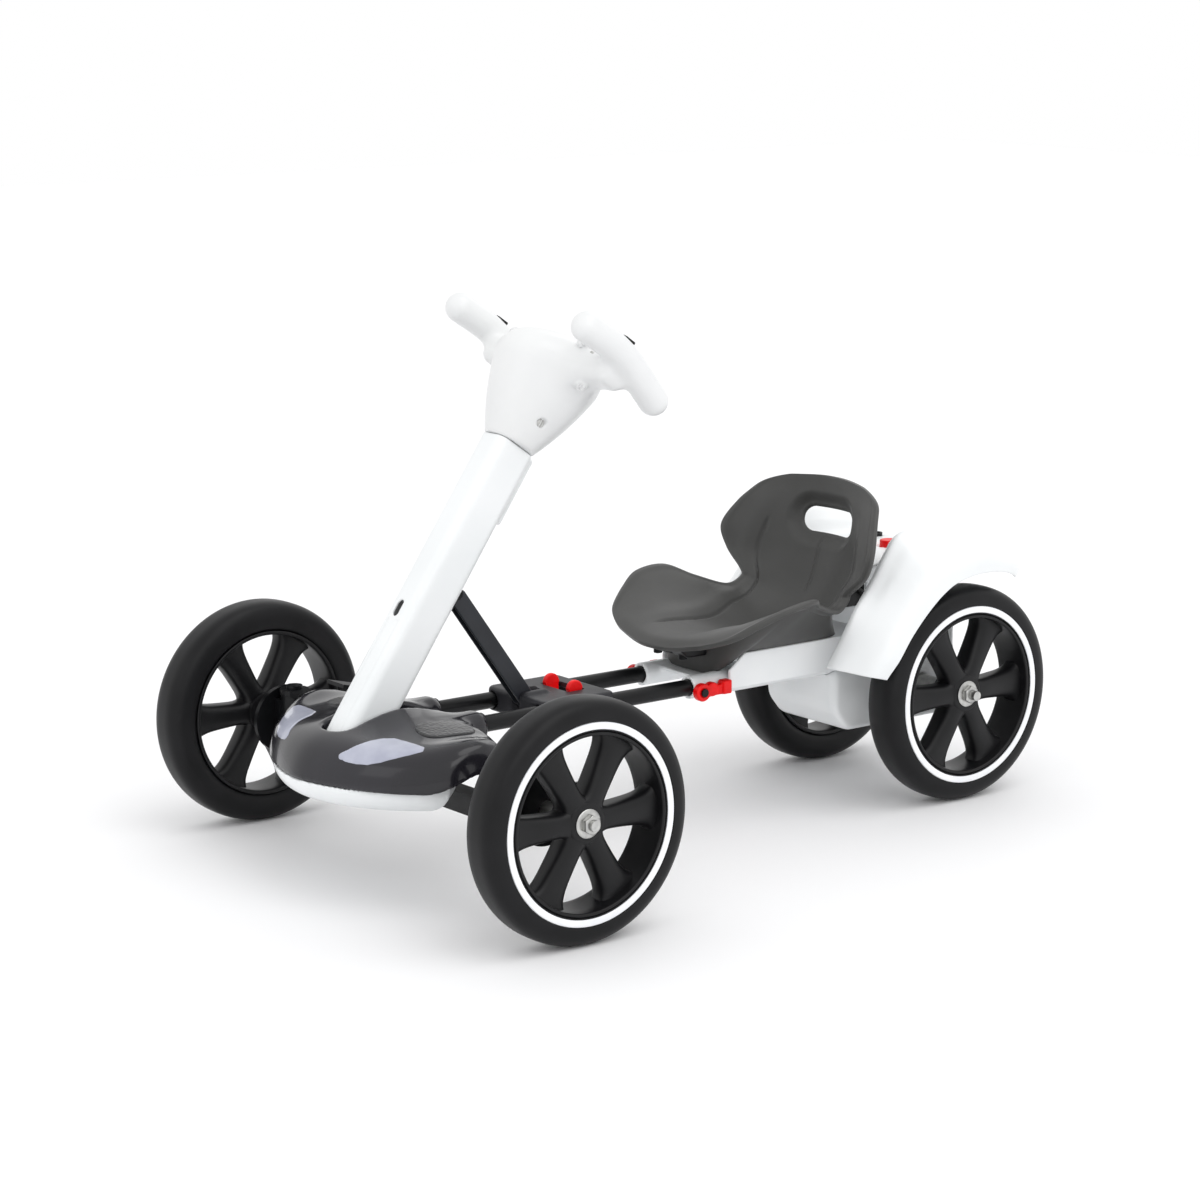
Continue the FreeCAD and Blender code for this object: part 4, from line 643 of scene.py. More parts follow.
SEAT_GREY = Finish("moulded seat plastic", "3f3f3e", "464645", (0.4, 0.54), Grain.PEBBLE, 0.9, 0.05, 90.0,
                   specular=0.4)

FINISH_OF = {
    "tyre_black": RUBBER, "wheel_black": RIM_PLASTIC, "stripe_white": STRIPE, "zinc_steel": ZINC,
    "steel_black": BLACK_PAINT, "signal_red": RED, "button_black": BUTTON, "shell_grey": SHELL_GREY,
    "shell_white": SHELL_WHITE, "panel_pale": PANEL, "pad_dark": PAD, "steel_graphite": GRAPHITE,
    "plastic_graphite": BRACKET_GREY, "frame_white": FRAME_WHITE, "seat_grey": SEAT_GREY,
}


def finished(name: str, skin: Skin, body: str, slot: str, *nodes: str, crease: float = 40.0,
             finish: Finish | None = None) -> bpy.types.Object:
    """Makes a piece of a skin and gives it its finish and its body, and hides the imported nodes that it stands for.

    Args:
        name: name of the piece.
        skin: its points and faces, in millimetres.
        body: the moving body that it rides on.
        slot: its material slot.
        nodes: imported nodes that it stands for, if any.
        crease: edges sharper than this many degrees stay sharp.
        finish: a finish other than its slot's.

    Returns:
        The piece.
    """
    points, faces = skin.merged()
    mesh = bpy.data.meshes.new(name)
    mesh.from_pydata((points * MM).tolist(), [], faces)
    mesh.polygons.foreach_set("use_smooth", np.ones(len(faces), bool))
    mesh.set_sharp_from_angle(angle=math.radians(crease))
    mesh.update()
    piece = bpy.data.objects.new(name, mesh)
    bpy.context.scene.collection.objects.link(piece)
    mesh.materials.append((finish or FINISH_OF[slot]).material())
    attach(piece, body)
    if nodes:
        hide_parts(*nodes)
    LOG.info("%s: %d faces", name, len(faces))
    return piece


class Side(Enum):
    """The rider's left or right, as the sign of Y."""

    LEFT = 1
    RIGHT = -1


def hexagon(apothem: float, bore: float, ends: tuple[float, float], count: int = 96) -> Array:
    """Hexagonal nut about Y: the radius of its flats, a / cos of the angle from each flat's middle, cut by a cone.

    Args:
        apothem: half the width across flats.
        bore: radius of the hole.
        ends: where it starts and ends along Y.
        count: points round it.

    Returns:
        Rows of points that close on themselves.
    """
    turn = np.linspace(0, 2 * np.pi, count, endpoint=False)
    flat = apothem / np.cos((turn + np.pi / 6) % (np.pi / 3) - np.pi / 6)
    deep = np.array([0, 0.2, 0.45, 0.75, 1.1])
    across = np.concatenate([ends[0] + deep, ends[1] - deep[::-1]])
    cone = apothem * 0.97 + 1.7 * np.concatenate([deep, deep[::-1]])
    r = np.minimum(flat[None, :], cone[:, None])
    r = np.vstack([np.full(count, bore), r, np.full(count, bore)])
    across = np.concatenate([[ends[0]], across, [ends[1]]])
    return np.stack([r * np.cos(turn), np.repeat(across[:, None], count, 1), r * np.sin(turn)], -1)


# ---- wheels --------------------------------------------------------------------------------------------
@dataclass
class Wheel:
    """One wheel.  Across it, w runs from the inner face of the tyre outwards."""

    name: str
    x: float
    outer: float
    side: Side
    body: str
    stripe_nodes: tuple[str, ...] = ()
    tyre_r: float = 125.0
    width: float = 47.5
    rim_r: float = 93.0
    hub_r: float = 22.0
    hub_w: tuple[float, float] = (6.0, 40.0)
    bore_r: float = 8.0
    spokes: int = 6
    spoke_turn: float = 0.0
    spoke_half: tuple[float, float] = (11.6, 16.8)
    spoke_w: float = 24.0
    spoke_depth: float = 15.5

    def place(self, rows: Array) -> Array:
        """Points in the wheel's axes moved to the wheel's place."""
        across = self.side.value * (self.outer - self.width + rows[..., 1])
        return np.stack([rows[..., 0] + self.x, across, rows[..., 2] + self.tyre_r], -1)

    def tyre(self) -> Skin:
        """Tyre: a super-ellipse of width and height from the stripe out, and a stepped bead inside it.

        Returns:
            The closed tyre.
        """
        turn = np.linspace(0, np.pi, 49)
        half = self.width / 2
        w = half + half * np.sign(np.cos(turn)) * np.abs(np.cos(turn)) ** 0.62
        r = 103.8 + (self.tyre_r - 103.8) * np.sin(turn) ** 0.74
        bead = [(101, 0.1), (97, 0.7), (94.4, 2.0), (93.1, 4.0), (93.1, 43.6), (93.3, 45.4), (94.0, 46.3),
                (95.0, 46.4), (95.2, 45.8), (103.0, 45.8), (103.2, 46.5), (103.5, 47.2)]
        profile = np.vstack([np.stack([r, w], -1), bead])
        return Skin().ring(self.place(revolved(profile, 160)))

    def stripe(self) -> Skin:
        """Stripe: a low crowned ring in the tyre's groove.

        Returns:
            The closed ring.
        """
        turn = np.linspace(0, np.pi, 15)
        r = 99.1 + 3.7 * np.sign(np.cos(turn)) * np.abs(np.cos(turn)) ** 0.5
        w = 45.7 + 1.65 * np.sin(turn) ** 0.5
        return Skin().ring(self.place(revolved(np.stack([r, w], -1), 160)))

    def spoke(self, angle: float) -> Array:
        """Spoke: super-ellipse sections along the radius, that widen outwards and flare into hub and rim.

        Args:
            angle: the spoke's turn about the axle.

        Returns:
            Its sections in rows.
        """
        s = np.concatenate([np.linspace(13, 30, 16), np.linspace(33, 76, 12), np.linspace(78, 90.6, 16)])[:, None]
        near, far = self.spoke_half
        b = near + (far - near) * (s - 20) / 68 + 6.5 * np.exp((19 - s) / 4.6) * (s > 19) + 6.5 * (s <= 19)
        b = b + 13.0 * np.exp((s - 89) / 6.5) * (s < 89) + 13.0 * (s >= 89)
        c = self.spoke_depth - 1.6 * ease(24, 70, s)
        turn = np.linspace(0, 2 * np.pi, 44, endpoint=False)[None, :]
        t = b * np.sign(np.cos(turn)) * np.abs(np.cos(turn)) ** 0.8
        w = self.spoke_w - 0.9 * ease(24, 70, s) + c * np.sign(np.sin(turn)) * np.abs(np.sin(turn)) ** 0.62
        s = np.minimum(s + 0 * t, np.sqrt(np.maximum(91.6**2 - t * t, 0)))
        forwards = s * math.cos(angle) - t * math.sin(angle)
        upwards = s * math.sin(angle) + t * math.cos(angle)
        return np.stack([forwards, w, upwards], -1)

    def rim(self) -> Skin:
        """Rim: a rolled barrel and a hub, each a turned profile, and the spokes between them.

        Returns:
            The barrel, the hub and the spokes.
        """
        barrel = [(92.95, 0.9), (92.95, 45.0), (92.7, 46.0), (92.0, 46.7), (91.0, 46.9), (90.0, 46.6), (89.3, 45.8),
                  (89.0, 44.2), (88.4, 36), (87.9, 24), (88.0, 9), (88.4, 3.4), (88.9, 1.6),
                  (89.8, 0.6), (91.2, 0.3),
                  (92.4, 0.5)]
        low, high = self.hub_w
        r = self.hub_r
        hub = [(self.bore_r, low), (r - 1.6, low), (r - 0.5, low + 0.5), (r, low + 1.6), (r, high - 3.0),
               (r - 0.4, high - 1.5), (r - 1.3, high - 0.5), (r - 2.8, high - 0.1), (r - 3.8, high),
               (self.bore_r, high)]
        skin = Skin().ring(self.place(revolved(barrel, 144))).ring(self.place(revolved(hub, 96)))
        for k in range(self.spokes):
            skin.tube(self.place(self.spoke(math.radians(self.spoke_turn) + 2 * math.pi * k / self.spokes)))
        return skin

    def build(self) -> None:
        """Builds the tyre, the stripe and the rim."""
        finished(f"{self.name}_tyre_look", self.tyre(), self.body, "tyre_black", f"{self.name}_tyre")
        finished(f"{self.name}_stripe_look", self.stripe(), self.body, "stripe_white", *self.stripe_nodes)
        finished(f"{self.name}_rim_look", self.rim(), self.body, "wheel_black", f"{self.name}_rim")


@dataclass
class WheelNut:
    """Domed washer and hexagonal nut on the end of an axle."""

    name: str
    x: float
    side: Side
    body: str
    face: float
    washer_top: float
    nut_top: float
    nodes: tuple[str, ...] = ()
    z: float = 125.0
    bore: float = 5.7

    def build(self) -> None:
        """Builds the washer as a turned profile and the nut as a hexagon cut by cones."""
        f, t = self.face, self.washer_top
        washer = [(self.bore, f + 0.05), (13.6, f + 0.05), (14.7, f + 0.4), (14.9, f + 0.9), (14.2, t - 0.6),
                  (11.8, t - 0.2), (9.0, t - 0.02), (self.bore, t - 0.02)]
        skin = Skin()
        for rows in (revolved(washer, 96), hexagon(9.0, self.bore, (t, self.nut_top))):
            rows[..., 0] += self.x
            rows[..., 1] *= self.side.value
            rows[..., 2] += self.z
            skin.ring(rows)
        finished(f"{self.name}_look", skin, self.body, "zinc_steel", *self.nodes)


# ---- thin moulded sheets -------------------------------------------------------------------------------
@dataclass
class Moulding:
    """Thin sheet with a half-round border.

    face gives a point for each (u, a), cut is negative where the sheet has a hole, and scale is about how long one
    step of u and of a is.
    """

    face: Callable[[Array, Array], Array]
    cut: Callable[[Array], Array]
    wall: float
    scale: tuple[float, float]
    reach: float = 1.35

    def snapped(self, u: Array, a: Array) -> tuple[Array, Array]:
        """Grid places next to a cut's rim moved onto it by Newton steps.

        Args:
            u: places along the sheet.
            a: places across it.

        Returns:
            The moved places.
        """
        near = np.abs(self.cut(self.face(u, a))) < self.reach
        du, da = 0.04 / self.scale[0], 0.04 / self.scale[1]
        for _ in range(4):
            value = self.cut(self.face(u, a))
            gu = (self.cut(self.face(u + du, a)) - value) / 0.04
            ga = (self.cut(self.face(u, a + da)) - value) / 0.04
            size = np.maximum(gu * gu + ga * ga, 0.05)
            u = np.where(near, u - value * gu / size / self.scale[0], u)
            a = np.where(near, a - value * ga / size / self.scale[1], a)
        return u, a

    def normals(self, u: Array, a: Array, up: tuple[int, int]) -> Array:
        """Unit normals of the face, turned so that the one at the grid place up points upwards.

        Args:
            u: places along the sheet.
            a: places across it.
            up: grid place where the normal points upwards.

        Returns:
            One normal for each place.
        """
        du, da = 0.3 / self.scale[0], 0.3 / self.scale[1]
        n = np.cross(self.face(u + du, a) - self.face(u - du, a), self.face(u, a + da) - self.face(u, a - da))
        n /= np.maximum(np.linalg.norm(n, axis=-1, keepdims=True), 1e-9)
        return n * np.sign(n[up][2])

    def skin(self, u: Array, a: Array, up: tuple[int, int], relief: Callable[[Array, Array, Array], Array]) -> Skin:
        """Two faces of a wall whose thickness falls to nothing at every border as a half circle.

        Places on a rim or beside a missing cell have no thickness, so the two faces meet there, and a cell with
        no other places is left out.

        Args:
            u: places along the sheet, in rows.
            a: places across it.
            up: grid place where the outer face looks upwards.
            relief: height of folds above the face, from u, a and the distance to the cuts.

        Returns:
            The closed sheet.
        """
        u, a = np.meshgrid(u, a, indexing="ij")
        u, a = self.snapped(u, a)
        n = self.normals(u, a, up)
        face = self.face(u, a)
        hole = self.cut(face)
        face = face + relief(u, a, hole)[..., None] * n
        along = np.linalg.norm(np.diff(face, axis=0), axis=-1)
        across = np.linalg.norm(np.diff(face, axis=1), axis=-1)
        border = np.minimum.reduce([
            np.pad(np.cumsum(along, 0), ((1, 0), (0, 0))),
            np.pad(np.cumsum(along[::-1], 0)[::-1], ((0, 1), (0, 0))),
            np.pad(np.cumsum(across, 1), ((0, 0), (1, 0))),
            np.pad(np.cumsum(across[:, ::-1], 1)[:, ::-1], ((0, 0), (0, 1)))])
        border = np.minimum(border, np.maximum(hole, 0))
        half = self.wall / 2
        inside = hole < -0.05
        keep = ~(inside[:-1, :-1] | inside[1:, :-1] | inside[1:, 1:] | inside[:-1, 1:])
        cells = np.pad(keep, 1)
        inner = cells[:-1, :-1] & cells[1:, :-1] & cells[1:, 1:] & cells[:-1, 1:] & (border > 0.01)
        keep &= inner[:-1, :-1] | inner[1:, :-1] | inner[1:, 1:] | inner[:-1, 1:]
        thick = (inner * half * np.sqrt(1 - (1 - np.minimum(border / half, 1)) ** 2))[..., None]
        middle_face = face - half * n
        return Skin().sheet(middle_face + thick * n, middle_face - thick * n, keep)


def rounded_corner(a: Array, b: Array, radius: float) -> Array:
    """Distance to the rounded quarter where a and b are both negative."""
    a, b = a + radius, b + radius
    return np.hypot(np.maximum(a, 0), np.maximum(b, 0)) + np.minimum(np.maximum(a, b), 0) - radius


# ---- seat ----------------------------------------------------------------------------------------------
def seat_stations() -> Array:
    """Middle line of the seat from its front edge over the pan to the top of its back.

    Returns:
        Rows of forward place, height, half width, rise of the sides and their forward lean.
    """
    return np.array([
        (358, 206, 98, 14, -17), (344, 216, 112, 14, -20), (314, 217, 127, 29, -16), (280, 214, 139, 46, -12),
        (238, 209, 135, 55, -7), (201, 207, 113, 45, 4), (168, 211, 99, 28, 0), (140, 224, 93, 22, 10),
        (120, 246, 96, 8, 28), (108, 274, 121, 2, 40), (101, 302, 131, 0, 47), (96, 330, 119, 0, 37),
        (93, 352, 104, -2, 23), (92, 369, 93, -6, 15)], float)


@dataclass
class Seat:
    """Moulded bucket seat with a hand hole in its back and a skirt that stands on the frame."""

    stations: Array = field(default_factory=seat_stations)
    wall: float = 6.0
    hole_z: float = 318.0
    hole_half: tuple[float, float] = (38.5, 14.0)
    hole_corner: float = 13.5
    crease: tuple[float, ...] = (0.4, 0.3, 0.3, 0.65, 0.75, 0.6, 0.6, 0.6)
    skirt_x: tuple[float, float] = (116.0, 302.0)
    skirt_half: float = 59.6
    frame_slope: tuple[float, float, float] = (269.6, 196.6, 0.773)

    def surface(self, u: Array, a: Array) -> Array:
        """Bucket at (u, a): along the middle line by u, and out by a, the sides rising with a^2 (1.6 - 0.6 a^2).

        Both ends draw in as quarter ellipses, which rounds the four corners.

        Args:
            u: places along the sheet.
            a: places across it.

        Returns:
            Points of the bucket.
        """
        x, z, half, rise, lean = np.moveaxis(through(self.stations, u.ravel()).reshape(*u.shape, 5), -1, 0)
        front, back = np.clip(1 - u / 1.3, 0, 1), np.clip((u - 11.8) / 1.2, 0, 1)
        a = a * (0.28 + 0.3 * np.sqrt(1 - front**2) + 0.42 * np.sqrt(1 - back**2))
        b = a * a * (1.6 - 0.6 * a * a)
        return np.stack([REAR_X + x + lean * b, half * a, z + rise * b], -1)

    def hole(self, points: Array) -> Array:
        """Distance of points to the rim of the hand hole, a rounded slot seen from the front."""
        return rounded_corner(np.abs(points[..., 1]) - self.hole_half[0],
                              np.abs(points[..., 2] - self.hole_z) - self.hole_half[1], self.hole_corner)

    def folds(self, u: Array, a: Array, hole: Array) -> Array:
        """Height of the creases, the bolsters beside them, the rolled edge and the dish round the hole.

        Args:
            u: places along the sheet.
            a: places across it.
            hole: distance to the hand hole.

        Returns:
            The height above the bucket.
        """
        side = np.abs(a)
        out = 115 * (side - through(np.array(self.crease), (u / 2).ravel()).reshape(u.shape))
        sharp = 0.35 + 0.65 * ease(0.1, -0.1, a)
        crease = -2.4 * sharp * hill(out, 1.7) * ease(1.5, 2.3, u) * ease(10.6, 10.1, u)
        swell = 2.6 * hill(out - 13, 11) * ease(1.0, 3.0, u) * ease(12, 10, u)
        spine = 1.8 * hill(115 * a + 5, 1.5) * ease(7.5, 7.9, u) * ease(10.0, 9.7, u)
        edge = 1.3 * hill(side - 0.94, 0.03) * ease(0.4, 1.6, u) * ease(12.8, 12.0, u)
        return crease + swell + spine + edge - 7.5 * ease(19, 3, hole)

    def skirt(self) -> Array:
        """Rings of the skirt's wall: outside down from the bucket to the frame, and inside back up again.

        Each ring is a super-ellipse; between the bucket's ring and the frame's the rings follow a quadratic curve.

        Returns:
            The rings.
        """
        turn = np.linspace(0, 2 * np.pi, 200, endpoint=False)
        along, across = (np.sign(v) * np.abs(v) ** 0.75 for v in (np.cos(turn), np.sin(turn)))
        u, a = (4.8 + 2.6 * along)[None], (0.9 * across)[None]
        sheet = Moulding(self.surface, self.hole, self.wall, (22.0, 115.0))
        top = (self.surface(u, a) - 3.2 * sheet.normals(u, a, (0, 100)))[0]
        low, high = self.skirt_x
        x = (low + high) / 2 - (high - low) / 2 * np.sign(along) * np.abs(along) ** 0.6
        slope_x, slope_z, slope = self.frame_slope
        foot = np.stack([REAR_X + x, self.skirt_half * np.sign(across) * np.abs(across) ** 0.6,
                         slope_z - slope * np.maximum(x - slope_x, 0)], -1)
        bend = foot + (top - foot) * (0.4, 0.4, 0.3)
        s = np.linspace(0, 1, 15)[:, None, None]
        outside = (1 - s) ** 2 * top + 2 * s * (1 - s) * bend + s**2 * foot
        centre = np.array([REAR_X + (low + high) / 2, 0, 0])
        inside = centre + (outside - centre) * (0.96, 0.96, 1.0)
        return np.concatenate([outside, inside[::-1]])

    def bracket(self, x: Array, y: Array, z: Array) -> Array:
        """Steel bracket under the front lip, with two bolts.

        Args:
            x: place forwards.
            y: place to the left.
            z: height.

        Returns:
            The value there, negative inside.
        """
        x, side = x - REAR_X, np.abs(y)
        plate = meet(block(x, y, z, (322.0, 0, 199.0), (24.0, 33.0, 6.0), 2.5), (x - 336) + 1.2 * (199 - z), 2.0)
        plate = without(plate, block(x, y, z, (340.0, 0, 199.0), (12.0, 9.0, 20.0), 3.0), 1.0)
        return join(plate, drum(z, x - 328, side - 22, (190.0, 207.0), 5.0, 1.0), 1.0)

    def build(self) -> None:
        """Builds the bucket with its skirt, and the bracket."""
        tip = np.array([0.02, 0.06, 0.12, 0.18, 0.24])
        u = np.concatenate([[0], tip, np.linspace(0.31, 12.69, 184), 13 - tip[::-1], [13]])
        rim = np.array([0, 0.0007, 0.003, 0.007, 0.013, 0.021, 0.03])
        a = np.concatenate([-1 + rim, np.linspace(-0.96, 0.96, 177), (1 - rim)[::-1]])
        sheet = Moulding(self.surface, self.hole, self.wall, (22.0, 115.0))
        skin = sheet.skin(u, a, (80, 95), self.folds).ring(self.skirt())
        finished("seat_look", skin, "rear", "seat_grey", "seat", crease=60)
        x0 = REAR_X
        skin = Skin().solid(self.bracket, (x0 + 297, -34, 189), (x0 + 347, 34, 208), 1.2)
        finished("seat_bracket_look", skin, "rear", "steel_black", crease=60)


# ---- rear cover ----------------------------------------------------------------------------------------
def cover_stations() -> Array:
    """Stations of the rear cover round the axle, from in front of the wheels to behind them.

    Returns:
        Rows of angle in degrees, radius of the deck, of the crest and of the lip, and how far out the lip is.
    """
    return np.array([
        (15, 178, 190, 138.5, 146), (26, 172, 181.5, 133, 152), (40, 171, 181, 130.5, 152), (50, 171, 185, 131, 152),
        (58, 172, 195, 133, 152), (66, 170, 207, 136, 152), (74, 166, 201, 139, 152), (86, 160, 189, 141, 152),
        (98, 160, 181, 143, 150), (111, 161, 173, 146, 143), (124, 159, 163, 150, 126)], float)


@dataclass
class RearCover:
    """White deck with a fender over each rear wheel, in one moulding on four stays."""

    stations: Array = field(default_factory=cover_stations)
    wall: float = 3.0
    deck_half: float = 64.0
    crest_y: float = 105.0
    seat_x: float = 86.0
    seat_half: float = 97.0
    switch: tuple[float, float, float] = (20.0, 22.0, 11.5)
    socket: tuple[float, float, float] = (-12.0, -36.0, 8.2)
    stays: tuple[tuple[float, float, float], ...] = ((-44.0, -20.0, 283.0), (40.0, 58.0, 286.0))

    def surface(self, u: Array, a: Array) -> Array:
        """Cover at (u, a): a Catmull-Rom curve across, through deck, crest and lip, turned about the axle by u.

        Args:
            u: places along the sheet.
            a: places across it.

        Returns:
            Points of the cover.
        """
        angle, deck, crest, lip, out = np.moveaxis(through(self.stations, u.ravel()).reshape(*u.shape, 5), -1, 0)
        shoulder = (crest + lip) / 2 + 12
        low = (shoulder + lip) / 2 + 3
        one = np.ones_like(deck)
        y = np.stack([-self.deck_half * one, 0 * one, self.deck_half * one,
                      (self.deck_half + self.crest_y) / 2 * one,
                      self.crest_y * one, self.crest_y + 0.55 * (out - self.crest_y), out - 1, out, out + 1], -1)
        r = np.stack([deck, deck, deck, (deck + crest) / 2 + 1, crest, shoulder, low, lip, 2 * lip - low], -1)
        at = np.clip(np.floor(np.abs(a)).astype(int), 0, 5)[..., None]
        t = np.abs(a) - at[..., 0]
        curves = []
        for values in (y, r):
            p0, p1, p2, p3 = (np.take_along_axis(values, at + k, -1)[..., 0] for k in range(4))
            curves.append(0.5 * (2 * p1 + (p2 - p0) * t + (2 * p0 - 5 * p1 + 4 * p2 - p3) * t**2
                                 + (3 * p1 - p0 - 3 * p2 + p3) * t**3))
        turn = np.radians(angle)
        return np.stack([REAR_X + curves[1] * np.cos(turn), curves[0] * np.sign(a + 1e-12),
                         125.0 + curves[1] * np.sin(turn)], -1)

    def openings(self, points: Array) -> Array:
        """Distance to the seat's space, the switch's hole and the socket's hole, seen from above.

        Args:
            points: points of the cover.

        Returns:
            The distance, negative inside a hole.
        """
        x, y = points[..., 0] - REAR_X, points[..., 1]
        seat = rounded_corner(self.seat_x - x, np.abs(y) - self.seat_half, 12.0)
        holes = [np.hypot(x - cx, y - cy) - r for cx, cy, r in (self.switch, self.socket)]
        return np.minimum.reduce([seat, *holes])

    def relief(self, u: Array, a: Array, hole: Array) -> Array:
        """Height of the rolled crest line, the fold below it and the dish round the switch.

        Args:
            u: places along the sheet.
            a: places across it.
            hole: distance to the holes; not used.

        Returns:
            The height above the cover.
        """
        side = np.abs(a)
        crest = 1.4 * hill(side - 3.02, 0.16) * ease(0.5, 2.0, u)
        fold = -1.0 * hill(side - 3.45, 0.2) * ease(1.0, 3.0, u)
        points = self.surface(u, a)
        near = np.hypot(points[..., 0] - REAR_X - self.switch[0], points[..., 1] - self.switch[1])
        return crest + fold - 1.6 * ease(19.0, 15.0, near)

    def build(self) -> None:
        """Builds the moulding, and each stay as rounded rectangles stacked upwards."""
        tip = np.array([0, 0.012, 0.03, 0.06, 0.1])
        u = np.concatenate([tip, np.linspace(0.14, 9.86, 150), (10 - tip)[::-1]])
        half = np.concatenate([np.linspace(0, 1, 33)[:-1], np.linspace(1, 5.86, 66), 6 - tip[::-1]])
        a = np.concatenate([-half[:0:-1], half])
        sheet = Moulding(self.surface, self.openings, self.wall, (28.0, 24.0))
        skin = sheet.skin(u, a, (130, len(a) // 2), self.relief)
        for low, high, top in self.stays:
            loop = rounded_rectangle((high - low) / 2, 2.0, 1.6, 64)
            for sign in (-1, 1):
                rows = [np.column_stack([REAR_X + (low + high) / 2 + loop[:, 0], sign * 62.0 + loop[:, 1],
                                         np.full(64, z)]) for z in (163.0, 200.0, 240.0, top - 8)]
                skin.tube(np.array(rows))
        finished("rear_cover_look", skin, "rear", "shell_white", "rear_cover", crease=50)


# ---- front shells --------------------------------------------------------------------------------------
def shell_outline() -> Array:
    """Whole outline of the dark shell, its front a Catmull-Rom curve, about the front axle.

    Returns:
        Its corners in order.
    """
    front = np.array([(141.4, 0), (136.4, 30), (126, 62), (112, 94), (92, 122), (66, 146), (34, 165), (6, 166),
                      (-12, 150)], float)
    whole = np.vstack([front[:0:-1] * (1, -1), front])
    curve = through(whole, np.linspace(0, len(whole) - 1, 81))
    back = np.array([(-24, 118), (-36, 80), (-41, 60), (-44, 57), (-57, 57), (-61, 55), (-62, 50)], float)
    return np.vstack([curve, back, back[::-1] * (1, -1)])


def pan_outline() -> Array:
    """Whole outline of the white pan at its seam, about the front axle.

    Returns:
        Its corners in order.
    """
    reach = 140.6
    front = np.array([(reach, 0), (reach - 4, 32), (reach - 14, 60), (reach - 30, 88), (reach - 52, 114),
                      (reach - 76, 134), (reach - 96, 141)], float)
    whole = np.vstack([front[:0:-1] * (1, -1), front])
    curve = through(whole, np.linspace(0, len(whole) - 1, 61))
    return np.vstack([curve, [(16, 112), (16, -112)]])


def softened(outline: Sequence[tuple[float, float]], rounds: int = 3) -> Array:
    """Outline with its corners cut again and again, each cut a quarter of the way along both edges.

    Args:
        outline: the corners.
        rounds: how often they are cut.

    Returns:
        The new corners.
    """
    points = np.array(outline, float)
    for _ in range(rounds):
        after = np.roll(points, -1, axis=0)
        points = np.stack([0.75 * points + 0.25 * after, 0.25 * points + 0.75 * after], 1).reshape(-1, 2)
    return points


